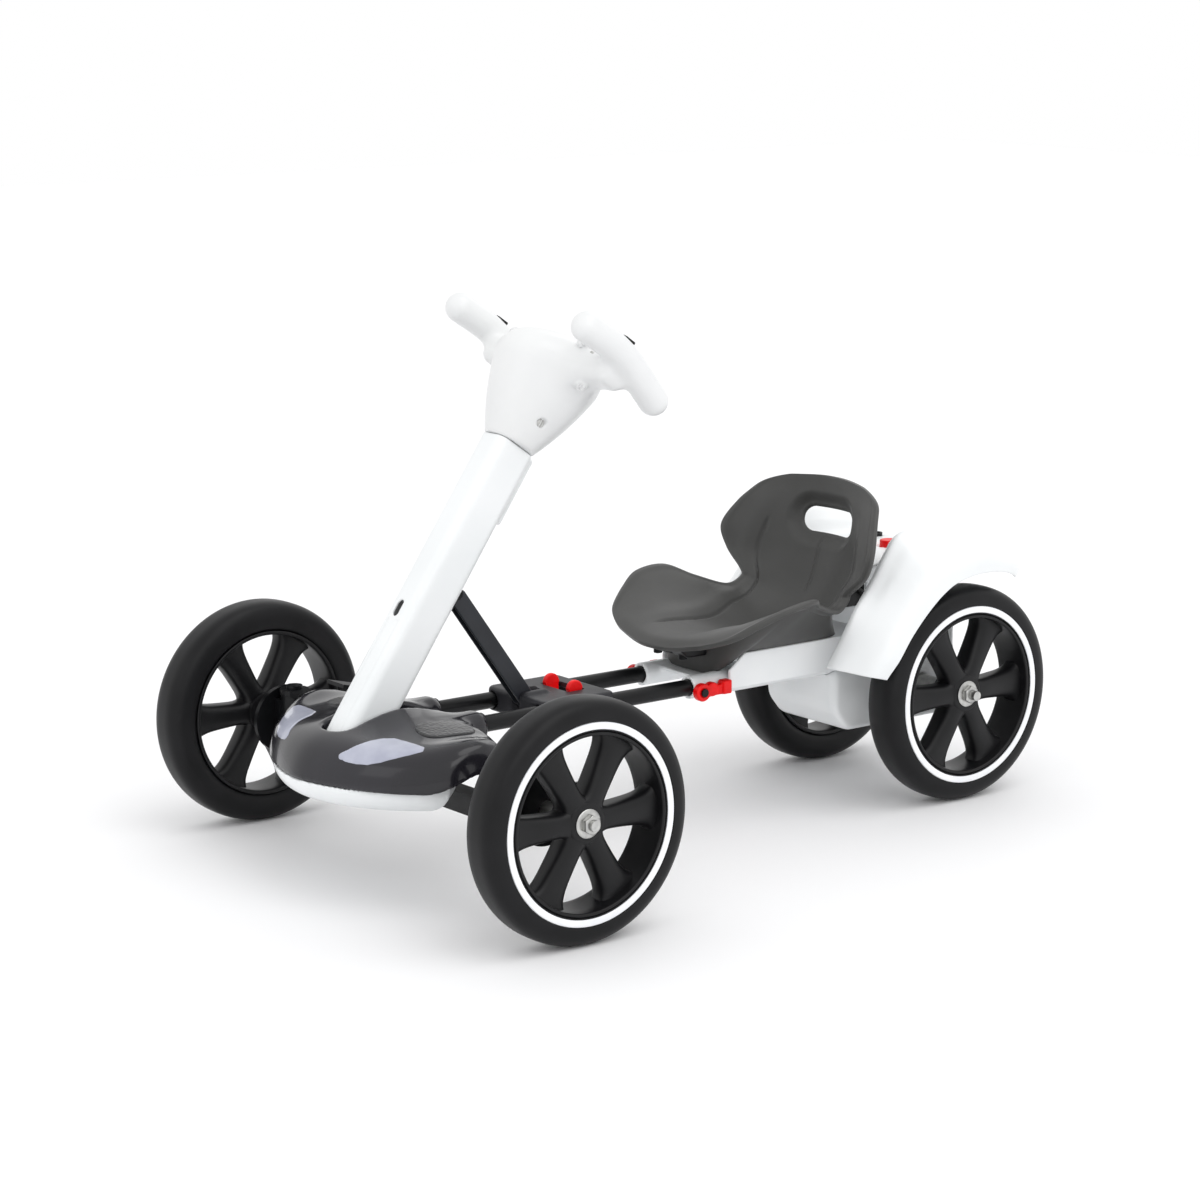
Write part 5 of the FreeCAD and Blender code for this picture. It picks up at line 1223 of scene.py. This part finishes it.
@dataclass
class FrontShell:
    """Glossy dark shell over the front axle with its lights, footrests and the white pan under it."""

    outline: Array = field(default_factory=shell_outline)
    pan: Array = field(default_factory=pan_outline)
    reach: float = 141.4
    seam: float = 128.6
    pan_bottom: float = 103.0
    inlay_low: float = 134.0
    slot_half: float = 22.6
    slot_front: float = 99.0
    rail: tuple[float, float] = (42.0, 163.0)
    light: tuple[tuple[float, float], ...] = ((121, 45), (106, 57), (67, 67), (60, 93), (58, 126), (82, 112),
                                              (105, 92), (116, 68))
    pad: tuple[tuple[float, float], ...] = ((38, 60), (2, 60), (-24, 66), (-18, 106), (8, 108), (42, 100))

    def height(self, x: Array, side: Array) -> Array:
        """Top of the shell: a level, three bell-shaped swells, and falls at the nose, the sides and the back.

        Args:
            x: place forwards of the axle.
            side: distance from the middle plane.

        Returns:
            The height of the top.
        """
        front = np.where(x > 0, np.hypot(x / self.reach, 0.62 * side / 165.0), 0.0)
        return (171.0 + 24 * hill(side, 52) * hill(x - 26, 62) + 9 * hill(side - 148, 30) * hill(x - 25, 46)
                + 5 * hill(side - 82, 34) * hill(x - 10, 46) - 16 * front**7 - 20 * ease(152, 172, side)
                - 8 * ease(-20, -60, x))

    def lowest(self, x: Array) -> Array:
        """Lower edge of the dark shell: level at the nose, then rising to a higher level behind the lobe."""
        return self.seam + 18.4 * ease(74, 22, x)

    def shell(self, x: Array, y: Array, z: Array) -> Array:
        """Dark shell: outline and top met with a wide rounding, sockets joined, the column's slot taken out.

        Args:
            x: place forwards.
            y: place to the left.
            z: height.

        Returns:
            The value there, negative inside.
        """
        x = x - FRONT_X
        side = np.abs(y)
        in_plan = outline_distance(x, y, self.outline)
        body = meet(in_plan, 0.94 * (z - self.height(x, side)), 7 + 31 * ease(-30, 30, x))
        rail_y, rail_z = self.rail
        socket = block(x, side, z, (-28.0, rail_y, rail_z), (39.5, 15.6, 15.6), 12.5)
        body = join(body, socket, 9.0)
        mouth = drum(x, side - rail_y, z - rail_z, (-90.0, -64.6), 10.6, 1.0)
        body = without(meet(body, self.lowest(x) - z, 2.0), mouth, 1.0)
        slot = rounded_corner(side - self.slot_half, x - self.slot_front, 19.0)
        return without(body, slot, 5.0)

    def layer(self, outline: Array, proud: float, deep: float) -> Solid:
        """Inlay: what lies inside an outline seen from above and close to the shell's skin, on both sides of it.

        Args:
            outline: the inlay's outline.
            proud: how far it stands out.
            deep: how far it goes in.

        Returns:
            The inlay as a solid.
        """
        def solid(x: Array, y: Array, z: Array) -> Array:
            """Inlay's value at a point."""
            skin = self.shell(x, y, z)
            inlay = meet(outline_distance(x - FRONT_X, np.abs(y), outline), np.abs(skin + (deep - proud) / 2)
                         - (deep + proud) / 2, 1.6)
            return meet(inlay, self.inlay_low - z, 0.8)
        return solid

    def tray(self, x: Array, y: Array, z: Array) -> Array:
        """White pan: an outline that draws in with the square of the depth, its top just under the dark shell.

        Args:
            x: place forwards.
            y: place to the left.
            z: height.

        Returns:
            The value there, negative inside.
        """
        x = x - FRONT_X
        deep = np.clip((self.seam - z) / (self.seam - self.pan_bottom), 0, 1.3)
        body = meet(outline_distance(x, y, self.pan) + 19 * deep**2.1, self.pan_bottom - z, 10.0)
        body = meet(body, z - self.lowest(x) + 0.5, 1.0)
        hollow = block(x, y, z, (30.0, 0.0, 170.0), (52.0, 47.0, 60.0), 8.0)
        return without(body, hollow, 2.0)

    def build(self) -> None:
        """Builds the shell, its inlays and the pan."""
        x0 = FRONT_X
        skin = Skin().solid(self.shell, (x0 - 70, -168, 126), (x0 + 143, 168, 199), 2.5)
        finished("front_shell_upper_look", skin, "root", "shell_grey", "front_shell_upper", crease=70)
        skin = Skin().solid(self.tray, (x0 + 14, -143, 101), (x0 + 142, 143, 149), 2.5)
        finished("front_shell_lower_look", skin, "root", "shell_white", "front_shell_lower", crease=60)
        lights, pads = Skin(), Skin()
        light = self.layer(softened(self.light, 1), 0.6, 1.6)
        pad = self.layer(softened(self.pad, 2), 1.4, 1.6)
        for y_low, y_high in ((44.0, 132.0), (-132.0, -44.0)):
            lights.solid(light, (x0 + 58, y_low, 132), (x0 + 131, y_high, 190), 1.3)
        for y_low, y_high in ((58.0, 110.0), (-110.0, -58.0)):
            pads.solid(pad, (x0 - 28, y_low, 160), (x0 + 44, y_high, 192), 1.5)
        finished("light_panels_look", lights, "root", "panel_pale", "light_panels", crease=60)
        finished("foot_pads_look", pads, "root", "pad_dark", "foot_pads", crease=60)


# ---- column's own directions -----------------------------------------------------------------------------
TILT = math.radians(55.2)
PIVOT = (FRONT_X + 62.0, 168.5)


def on_column(points: Array) -> Array:
    """Points given as (across, side, along the column from the fold pivot) moved to the kart's frame.

    Args:
        points: points in the column's directions.

    Returns:
        Points in the kart's frame.
    """
    across, side, along = points.T
    return np.stack([PIVOT[0] - along * math.cos(TILT) + across * math.sin(TILT), side,
                     PIVOT[1] + along * math.sin(TILT) + across * math.cos(TILT)], -1)


@dataclass
class Yoke:
    """Steering yoke: funnel hub, arms and thick grips in one smooth moulding."""

    collar: float = 342.0
    top: float = 131.0
    arm_at: tuple[float, float] = (-4.0, 102.0)
    arm_half: tuple[float, float] = (20.0, 16.0)
    grip_y: float = 112.0
    grip_r: float = 16.2
    grip_line: tuple[tuple[float, float], ...] = ((61.0, 120.5), (6.0, 120.5), (-59.0, 102.0))
    bosses: tuple[tuple[float, float, float], ...] = ((18.0, 60.0, 120.0), (1.0, 69.0, 80.0))
    button_u: float = 7.0
    clamp_screw: tuple[float, float, float] = (3.8, 40.6, 29.0)

    def shape(self, u: Array, y: Array, along: Array) -> Array:
        """Hub as a turned body whose radius grows as a parabola, joined to arms and bent bars with wide fillets.

        Args:
            u: place across the column, forwards.
            y: place to the left.
            along: place along the column.

        Returns:
            The value there, negative inside.
        """
        d, side = along - self.collar, np.abs(y)
        r = np.hypot(u, y)
        wall = 0.93 * (r - (28 + 0.52 * d - 0.00172 * d * d))
        dome = 0.8 * (d - self.top + 14 * (r / 46) ** 2)
        hub = meet(wall, dome, 20.0)
        at_u, at_d = self.arm_at
        arm = block(u, side, d, (at_u, 64.0, at_d), (self.arm_half[0], 46.0, self.arm_half[1]), 13.0)
        line = through(np.array([(at, self.grip_y, up) for at, up in self.grip_line]), np.linspace(0, 2, 13))
        grip = np.minimum.reduce([stick(u, side, d, a, b, self.grip_r) for a, b in zip(line[:-1], line[1:])])
        body = join(join(hub, arm, 28.0), grip, 12.0)
        body = meet(body, 0.6 - d, 2.5)
        pocket = block(u, side, d, (self.button_u, self.grip_y, 135.0), (9.5, 5.5, 6.0), 3.6)
        body = without(body, pocket, 1.0)
        for at_u, at_y, at_d in self.bosses:
            ball = np.sqrt((u - at_u) ** 2 + (side - at_y) ** 2 + (d - at_d) ** 2)
            body = without(join(body, ball - 6.4, 2.5), ball - 4.2, 0.8)
        at_u, at_y, at_d = self.clamp_screw
        return without(body, drum(side, u - at_u, d - at_d, (at_y - 1.5, at_y + 20), 5.6, 0.6), 1.2)

    def screws(self, u: Array, y: Array, along: Array) -> Array:
        """Round head of the clamp screw, with a slot across it, and the balls of the bosses' screws.

        Args:
            u: place across the column, forwards.
            y: place to the left.
            along: place along the column.

        Returns:
            The value there, negative inside.
        """
        side, d = np.abs(y), along - self.collar
        at_u, at_y, at_d = self.clamp_screw
        head = drum(side, u - at_u, d - at_d, (at_y - 5, at_y - 0.2), 4.6, 0.8)
        body = without(head, block(u, side, d, (at_u, at_y, at_d), (1.0, 1.6, 8.0), 0.3), 0.2)
        for at_u, at_y, at_d in self.bosses:
            body = join(body, np.sqrt((u - at_u) ** 2 + (side - at_y + 1.5) ** 2 + (d - at_d) ** 2) - 3.0, 0.1)
        return body

    def build(self) -> None:
        """Builds the yoke."""
        c = self.collar
        points, faces = net(self.shape, (-78, -131, c - 1), (79, 131, c + 141), 2.2)
        finished("yoke_look", Skin().add(on_column(points), faces), "yoke", "shell_white", "yoke_front_shell",
                 "yoke_rear_shell", crease=70, finish=SHADED_YOKE_WHITE)
        points, faces = net(self.screws, (-4, 33, c + 23), (23, 73, c + 124), 0.7)
        skin = Skin()
        for sign in (1, -1):
            skin.add(on_column(points * (1, sign, 1)), faces)
        finished("clamp_screws_look", skin, "yoke", "zinc_steel", crease=60)


@dataclass
class Column:
    """Hollow white column from its foot to the yoke's collar, with the steel lugs of the strut."""

    half: tuple[float, float] = (26.0, 21.0)
    ends: tuple[float, float] = (-20.0, 342.0)
    corner: float = 12.0
    wall: float = 3.0
    bore: float = 7.7
    strut: tuple[float, float] = (-26.0, 176.0)
    window: tuple[float, float] = (-2.0, 131.0)

    def shape(self, u: Array, y: Array, d: Array) -> Array:
        """Rounded bar and its rear step, less the hollow, the slots, the window and a fine line down the front.

        Args:
            u: place across the column, forwards.
            y: place to the left.
            d: place along the column.

        Returns:
            The value there, negative inside.
        """
        side = np.abs(y)
        low, high = self.ends
        bar = meet(rounded_corner(np.abs(u) - self.half[0], side - self.half[1], self.corner),
                   np.abs(d - (low + high) / 2) - (high - low) / 2, 2.4)
        bar = join(bar, block(u, y, d, (-26.0, 0, 301.5), (6.0, 12.0, 39.4), 3.0), 5.0)
        line = np.hypot(side - 8.5, u - self.half[0] - 0.3) - 1.3
        line = meet(line, np.abs(d - 50) - 68, 1.0)
        hollow = meet(rounded_corner(np.abs(u) - self.half[0] + self.wall, side - self.half[1] + self.wall,
                                     self.corner - self.wall), d - high + 12, 1.0)
        hollow = without(hollow, np.abs(d - 38) - 4, 0.5)
        rear_slot = block(u, y, d, (-40.0, 0, -6.0), (20.0, 14.0, 16.0), 1.5)
        pocket = block(u, y, d, (-26.0, 0, self.strut[1] - 5), (5.0, 10.6, 22.0), 1.5)
        width, at = self.window
        window = meet(rounded_corner(np.abs(y - width) - 4.6, np.abs(d - at) - 9.5, 4.5), 15 - u, 0.5)
        pivot = np.hypot(u, d) - 5.4
        body = bar
        for cut, soft in ((line, 0.6), (hollow, 0.6), (np.hypot(u, y) - self.bore, 0.5), (rear_slot, 1.0),
                          (pocket, 1.0), (window, 1.2), (pivot, 0.6)):
            body = without(body, cut, soft)
        return body

    def lugs(self, u: Array, y: Array, d: Array) -> Array:
        """Two round-ended steel lugs beside the strut, on a plate inside the column's rear wall.

        Args:
            u: place across the column, forwards.
            y: place to the left.
            d: place along the column.

        Returns:
            The value there, negative inside.
        """
        side = np.abs(y)
        at_u, at_d = self.strut
        lug = meet(np.hypot(u - np.clip(u, at_u, -21.0), d - at_d) - 6.5, np.abs(side - 9.1) - 1.4, 0.5)
        plate = block(u, y, d, (-21.6, 0, at_d - 5), (1.2, 10.3, 20.0), 0.5)
        return without(join(lug, plate, 1.0), np.hypot(u - at_u, d - at_d) - 4.2, 0.3)

    def build(self) -> None:
        """Builds the column and the lugs."""
        low, high = self.ends
        points, faces = net(self.shape, (-33, -22, low - 1), (27, 22, high + 1), 1.5)
        finished("column_look", Skin().add(on_column(points), faces), "column", "shell_white", "column_shell",
                 crease=60)
        points, faces = net(self.lugs, (-34, -11, self.strut[1] - 27), (-14, 11, self.strut[1] + 17), 0.8)
        finished("strut_lugs_look", Skin().add(on_column(points), faces), "column", "steel_black", crease=60)


# ---- strut, bracket and tabs -----------------------------------------------------------------------------
@dataclass
class Strut:
    """U channel that props the column on the slide bracket."""

    foot: tuple[float, float] = (178.9, 168.0)
    head: tuple[float, float] = (273.6, 298.2)
    half: tuple[float, float] = (7.0, 10.0)
    wall: float = 2.5
    end_r: float = 8.0

    def shape(self, q: Array, y: Array, p: Array) -> Array:
        """Rounded bar less a channel along its front, met with round ends.

        Args:
            q: place across the strut.
            y: place to the left.
            p: place along the strut.

        Returns:
            The value there, negative inside.
        """
        long = math.dist(self.foot, self.head)
        bar = block(q, y, p, (0, 0, long / 2), (self.half[1], self.half[0], long / 2 + 8), 1.6)
        channel = block(q, y, p, (12.5, 0, long / 2), (20.0, self.half[0] - self.wall, long), 0.8)
        reach = np.hypot(q, p - np.clip(p, 0, long)) - self.end_r - 3.0 * ease(0, 8, p) * ease(long, long - 8, p)
        return without(meet(bar, reach, 1.0), channel, 0.6)

    def build(self) -> None:
        """Builds the strut along the line between its two pins."""
        long = math.dist(self.foot, self.head)
        way = np.subtract(self.head, self.foot) / long
        points, faces = net(self.shape, (-11, -8, -9), (11, 8, long + 9), 1.1)
        q, y, p = points.T
        placed = np.stack([self.foot[0] + p * way[0] + q * way[1], y, self.foot[1] + p * way[1] - q * way[0]], -1)
        finished("fold_strut_look", Skin().add(placed, faces), "strut", "steel_graphite", "fold_strut", crease=60)


@dataclass
class SlideBracket:
    """Saddle on both rails, with the strut's mouth, and the two red tabs in its slot."""

    x: tuple[float, float] = (96.9, 192.9)
    half: float = 55.0
    z: tuple[float, float] = (150.0, 177.0)
    rail: tuple[float, float] = (42.0, 163.0)
    foot_x: float = 178.9
    tab_x: float = 128.9
    tab_r: float = 10.0

    def shape(self, x: Array, y: Array, z: Array) -> Array:
        """Rounded block less the rails' bores, the hollow under it, the strut's mouth and the tabs' slot.

        Args:
            x: place forwards.
            y: place to the left.
            z: height.

        Returns:
            The value there, negative inside.
        """
        side = np.abs(y)
        mid = sum(self.x) / 2
        plan = rounded_corner(np.abs(x - mid) - (self.x[1] - self.x[0]) / 2, side - self.half, 10.0)
        body = meet(plan, np.abs(z - sum(self.z) / 2) - (self.z[1] - self.z[0]) / 2, 5.0)
        bore = np.hypot(side - self.rail[0], z - self.rail[1]) - 9.4
        under = block(x, y, z, (134.0, 0.0, 150.0), (33.0, 30.0, 21.0), 3.0)
        mouth = block(x, y, z, (self.foot_x + 3, 0.0, 163.0), (25.0, 7.6, 30.0), 1.5)
        slot = block(x, y, z, (self.tab_x, 0.0, 178.0), (11.2, 25.2, 8.0), 2.0)
        for cut, soft in ((bore, 1.0), (under, 1.5), (mouth, 1.5), (slot, 1.2)):
            body = without(body, cut, soft)
        plan = rounded_corner(np.abs(x - self.foot_x + 5) - 17.0, side - 16.0, 5.0)
        lug = meet(plan, np.abs(z - 168.0) - 12.5, 5.0)
        lug = without(lug, side - 7.6, 1.0)
        pin = block(x, side, z, (self.foot_x - 4.5, 9.5, 168.0), (10.0, 3.0, 6.6), 2.0)
        return without(join(body, lug, 3.0), pin, 0.8)

    def tab(self, x: Array, y: Array, z: Array) -> Array:
        """Half disc with a ridged face, on a tongue.

        Args:
            x: place forwards.
            y: place to the left.
            z: height.

        Returns:
            The value there, negative inside.
        """
        disc = drum(y, x - self.tab_x, z - 177.6, (18.0, 24.0), self.tab_r, 1.6)
        disc = meet(disc, 177.5 - z, 0.8)
        tongue = block(x, y, z, (self.tab_x, 21.0, 171.7), (8.8, 2.9, 6.4), 0.8)
        return join(disc, tongue, 0.8)

    def build(self) -> None:
        """Builds the bracket and the tabs."""
        skin = Skin().solid(self.shape, (self.x[0], -self.half, self.z[0]), (self.x[1], self.half, 182), 1.7)
        finished("slide_bracket_look", skin, "bracket", "plastic_graphite", "slide_bracket", crease=60)
        points, faces = net(self.tab, (117, 17, 165), (141, 25, 189), 0.7)
        for word, sign in (("left", 1), ("right", -1)):
            finished(f"{word}_release_tab_look", Skin().add(points * (1, sign, 1), faces), f"{word}_tab",
                     "signal_red", f"{word}_release_tab", crease=60)


# ---- rear frame, housing and clamps ------------------------------------------------------------------------
@dataclass
class RearFrame:
    """White frame on two sleeves, its motor housing and its clamp levers, about the rear axle."""

    wall_y: float = 58.0
    sleeve_r: float = 13.0
    sleeve_x: tuple[float, float] = (60.0, 337.6)
    rail: tuple[float, float] = (42.0, 163.0)
    side: tuple[tuple[float, float], ...] = ((-50, 157), (291.6, 157), (291.6, 179), (269.6, 196),
                                             (-50, 196))
    lever_x: float = 331.6
    lever_long: float = 38.0

    def frame(self, x: Array, y: Array, z: Array) -> Array:
        """Two side plates, two sleeves and the level plates between them, joined with small fillets.

        Args:
            x: place forwards.
            y: place to the left.
            z: height.

        Returns:
            The value there, negative inside.
        """
        x = x - REAR_X
        side = np.abs(y)
        plate = meet(outline_distance(x, z, np.array(self.side, float)), np.abs(side - self.wall_y) - 2.0, 1.4)
        low, high = self.sleeve_x
        sleeve = drum(x, side - self.rail[0], z - self.rail[1], (low, high), self.sleeve_r, 1.2)
        deck = block(x, y, z, (165.0, 0, 190.0), (104.6, 58.0, 2.0), 1.0)
        web = block(x, y, z, (274.0, 0, 169.0), (42.6, 42.0, 2.0), 1.2)
        back = block(x, y, z, (7.0, 0, 159.0), (57.0, 58.0, 2.0), 1.0)
        link = block(x, side, z, (175.8, 53.5, 163.0), (115.6, 4.0, 4.0), 1.0)
        body = join(plate, sleeve, 3.0)
        for other in (deck, web, back, link):
            body = join(body, other, 4.0)
        bore = drum(x, side - self.rail[0], z - self.rail[1], (120.0, 350.0), 9.5, 0.5)
        return without(body, bore, 0.8)

    def housing(self, x: Array, y: Array, z: Array) -> Array:
        """Hollow rounded box with a sloped front edge, and holes for the sleeves and the axle.

        Args:
            x: place forwards.
            y: place to the left.
            z: height.

        Returns:
            The value there, negative inside.
        """
        x = x - REAR_X
        side = np.abs(y)
        box = block(x, y, z, (40.3, 0, 119.2), (96.3, 60.0, 36.8), 9.0)
        slope = (31 * (x - 112.6) - 25 * (z - 81)) / math.hypot(31, 25)
        box = meet(box, slope, 7.0)
        sleeve = drum(x, side - self.rail[0], z - self.rail[1], (58.0, 140.0), self.sleeve_r + 0.4, 0.5)
        hollow = block(x, y, z, (38.0, 0, 119.0), (87.0, 54.0, 31.0), 6.0)
        hollow = meet(hollow, slope + 5.0, 3.0)
        axle = np.hypot(x, z - 125.0) - 11.0
        ring = drum(side, x, z - 125.0, (50.0, 60.4), 20.0, 2.0)
        body = join(without(without(box, hollow, 2.0), sleeve, 1.0), ring, 2.0)
        return without(body, axle, 0.8)

    def lever(self, x: Array, y: Array, z: Array) -> Array:
        """Two humps round the pivot, a flat arm back from them and a square pull at its end.

        Args:
            x: place forwards.
            y: place to the left.
            z: height.

        Returns:
            The value there, negative inside.
        """
        x = x - REAR_X
        y0, z0 = 55.5, 160.0
        boss = drum(y, x - self.lever_x, z - z0, (y0, y0 + 9.0), 10.0, 2.0)
        hump = drum(y, x - self.lever_x + 13, z - z0 - 2.2, (y0, y0 + 9.0), 7.8, 2.0)
        arm = block(x, y, z, (self.lever_x - 19, y0 + 4.2, z0 + 0.6), (19.0, 4.2, 6.0), 2.0)
        pull = block(x, y, z, (self.lever_x - self.lever_long + 6, y0 + 5.8, z0 + 2.6), (6.0, 5.8, 7.8), 2.0)
        body = join(join(join(boss, hump, 3.0), arm, 2.0), pull, 1.5)
        bore = np.hypot(x - self.lever_x, z - z0) - 3.3
        ring = drum(y, x - self.lever_x, z - z0, (y0 + 8.0, y0 + 12.0), 5.4, 0.4)
        return without(without(body, bore, 0.4), ring, 0.5)

    def build(self) -> None:
        """Builds the frame, the housing and both levers."""
        x0 = REAR_X
        skin = Skin().solid(self.frame, (x0 - 51, -61, 149), (x0 + 339, 61, 197), 2.0)
        finished("rear_frame_look", skin, "rear", "frame_white", "rear_frame", crease=60)
        skin = Skin().solid(self.housing, (x0 - 57, -61, 81), (x0 + 138, 61, 157), 2.2)
        finished("motor_housing_look", skin, "rear", "shell_white", "motor_housing", crease=60)
        points, faces = net(self.lever, (x0 + 292, 54, 148), (x0 + 343, 69, 172), 0.8)
        for word, sign in (("left", 1), ("right", -1)):
            finished(f"{word}_clamp_lever_look", Skin().add(points * (1, sign, 1), faces), f"{word}_clamp",
                     "signal_red", f"{word}_clamp_lever", crease=60)


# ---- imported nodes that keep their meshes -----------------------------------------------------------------
KEPT: dict[str, tuple[str, ...]] = {
    "zinc_steel": ("front_left_wheel_bearings", "front_right_wheel_bearings", "front_left_stub_axle",
                   "front_right_stub_axle", "axle_bearings", "rear_axle", "seat_bolts", "axle_gear", "motor_pinion",
                   "front_left_wheel_nut", "front_right_wheel_nut", "rear_wheel_nuts", "yoke_screws"),
    "steel_black": ("front_left_knuckle", "front_right_knuckle", "front_axle_beam", "pivot_pins", "track_rod",
                    "lower_steering_shaft", "front_frame", "rails", "pedal_bracket", "steering_shaft", "strut_pins",
                    "clamp_pins", "motor"),
    "button_black": ("accelerator_pedal", "left_thumb_button", "right_thumb_button", "battery", "charge_socket"),
    "shell_grey": ("front_shell_upper",),
    "shell_white": ("front_shell_lower", "column_shell", "yoke_front_shell", "yoke_rear_shell", "motor_housing",
                    "rear_cover"),
    "panel_pale": ("light_panels",),
    "pad_dark": ("foot_pads",),
    "steel_graphite": ("fold_strut",),
    "plastic_graphite": ("slide_bracket",),
    "signal_red": ("left_release_tab", "right_release_tab", "left_clamp_lever", "right_clamp_lever", "power_switch"),
    "frame_white": ("rear_frame",),
    "seat_grey": ("seat",),
}


def dress_kept() -> None:
    """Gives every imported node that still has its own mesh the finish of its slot."""
    for slot, nodes in KEPT.items():
        for node in nodes:
            piece = bpy.data.objects.get(node)
            if piece is None:
                continue
            piece.data.materials.clear()
            piece.data.materials.append(FINISH_OF[slot].material())
            LOG.info("%s: dressed", node)


# ---- room, light and camera ------------------------------------------------------------------------------
@dataclass
class Studio:
    """Pale floor, soft lights and the camera."""

    eye: tuple[float, float, float] = (2196.4, 2739.9, 973.4)
    target: tuple[float, float, float] = (77.3, 0.0, 266.0)
    lens: float = 97.15
    floor_half: float = 9.0
    floor_colour: str = "f6f6f7"

    def camera(self) -> None:
        """Camera at a quarter view from the front left, a little above the seat."""
        data = bpy.data.cameras.new("view")
        data.lens, data.sensor_width, data.clip_end = self.lens, 36.0, 100.0
        holder = bpy.data.objects.new("view", data)
        eye = Vector(self.eye) * MM
        holder.location = eye
        holder.rotation_euler = (Vector(self.target) * MM - eye).to_track_quat("-Z", "Y").to_euler()
        bpy.context.scene.collection.objects.link(holder)
        bpy.context.scene.camera = holder

    def floor(self) -> None:
        """Flat floor, a grid of points at height nought."""
        at = np.linspace(-self.floor_half, self.floor_half, 9)
        x, y = np.meshgrid(at, at, indexing="ij")
        mesh = bpy.data.meshes.new("floor")
        mesh.from_pydata(np.stack([x, y, 0 * x], -1).reshape(-1, 3).tolist(), [], grid_quads(9, 9).tolist())
        floor = bpy.data.objects.new("floor", mesh)
        bpy.context.scene.collection.objects.link(floor)
        paint = bpy.data.materials.new("floor paint")
        paint.use_nodes = True
        shader = paint.node_tree.nodes["Principled BSDF"]
        shader.inputs["Base Color"].default_value = linear(self.floor_colour)
        shader.inputs["Roughness"].default_value = 0.7
        mesh.materials.append(paint)

    def light(self, name: str, place: Sequence[float], size: tuple[float, float], power: float) -> None:
        """Soft rectangular light aimed at the middle of the kart.

        Args:
            name: name of the lamp.
            place: where it stands, in metres.
            size: its sides, in metres.
            power: its power in watts.
        """
        data = bpy.data.lights.new(name, "AREA")
        data.shape, data.size, data.size_y, data.energy = "RECTANGLE", size[0], size[1], power
        lamp = bpy.data.objects.new(name, data)
        lamp.location = place
        lamp.rotation_euler = (Vector((0, 0, 0.2)) - Vector(place)).to_track_quat("-Z", "Y").to_euler()
        bpy.context.scene.collection.objects.link(lamp)

    def build(self) -> None:
        """Builds the camera, the floor, the sky light and the lamps."""
        self.camera()
        self.floor()
        world = bpy.data.worlds.new("sky")
        world.use_nodes = True
        world.node_tree.nodes["Background"].inputs["Color"].default_value = (1.0, 1.0, 1.0, 1.0)
        world.node_tree.nodes["Background"].inputs["Strength"].default_value = 1.0
        bpy.context.scene.world = world
        bpy.context.scene.view_settings.view_transform = "Standard"
        sun = bpy.data.lights.new("soft sun", "SUN")
        sun.energy, sun.angle = 0.5, math.radians(40)
        lamp = bpy.data.objects.new("soft sun", sun)
        lamp.rotation_euler = (Vector((0, 0, 0)) - Vector((-0.5, 1.2, 2.6))).to_track_quat("-Z", "Y").to_euler()
        bpy.context.scene.collection.objects.link(lamp)
        self.light("key light", (0.8, 2.6, 2.0), (2.2, 1.0), 9.0)
        self.light("front light", (3.0, 0.2, 1.7), (1.4, 1.4), 3.0)
        self.light("back light", (-2.8, -1.4, 2.4), (2.4, 1.2), 5.0)


def main() -> None:
    """Builds the room and every piece in order."""
    logging.basicConfig(level=logging.INFO, format="%(name)s: %(message)s")
    dress_kept()
    Studio().build()
    for side, word in ((Side.LEFT, "left"), (Side.RIGHT, "right")):
        Wheel(f"front_{word}", FRONT_X, 319.5, side, f"{word}_front_wheel", (f"front_{word}_stripe",)).build()
        Wheel(f"rear_{word}", REAR_X, 143.6, side, "rear_wheels",
              ("rear_stripes",) if side is Side.LEFT else ()).build()
        WheelNut(f"front_{word}_wheel_nut", FRONT_X, side, f"{word}_knuckle", 312.0, 314.25, 320.75,
                 (f"front_{word}_wheel_nut",)).build()
        WheelNut(f"rear_{word}_wheel_nut", REAR_X, side, "rear_wheels", 136.1, 138.1, 144.6,
                 ("rear_wheel_nuts",) if side is Side.LEFT else ()).build()
    FrontShell().build()
    Yoke().build()
    Column().build()
    Strut().build()
    SlideBracket().build()
    RearFrame().build()
    Seat().build()
    RearCover().build()


if __name__ == "__main__":
    main()
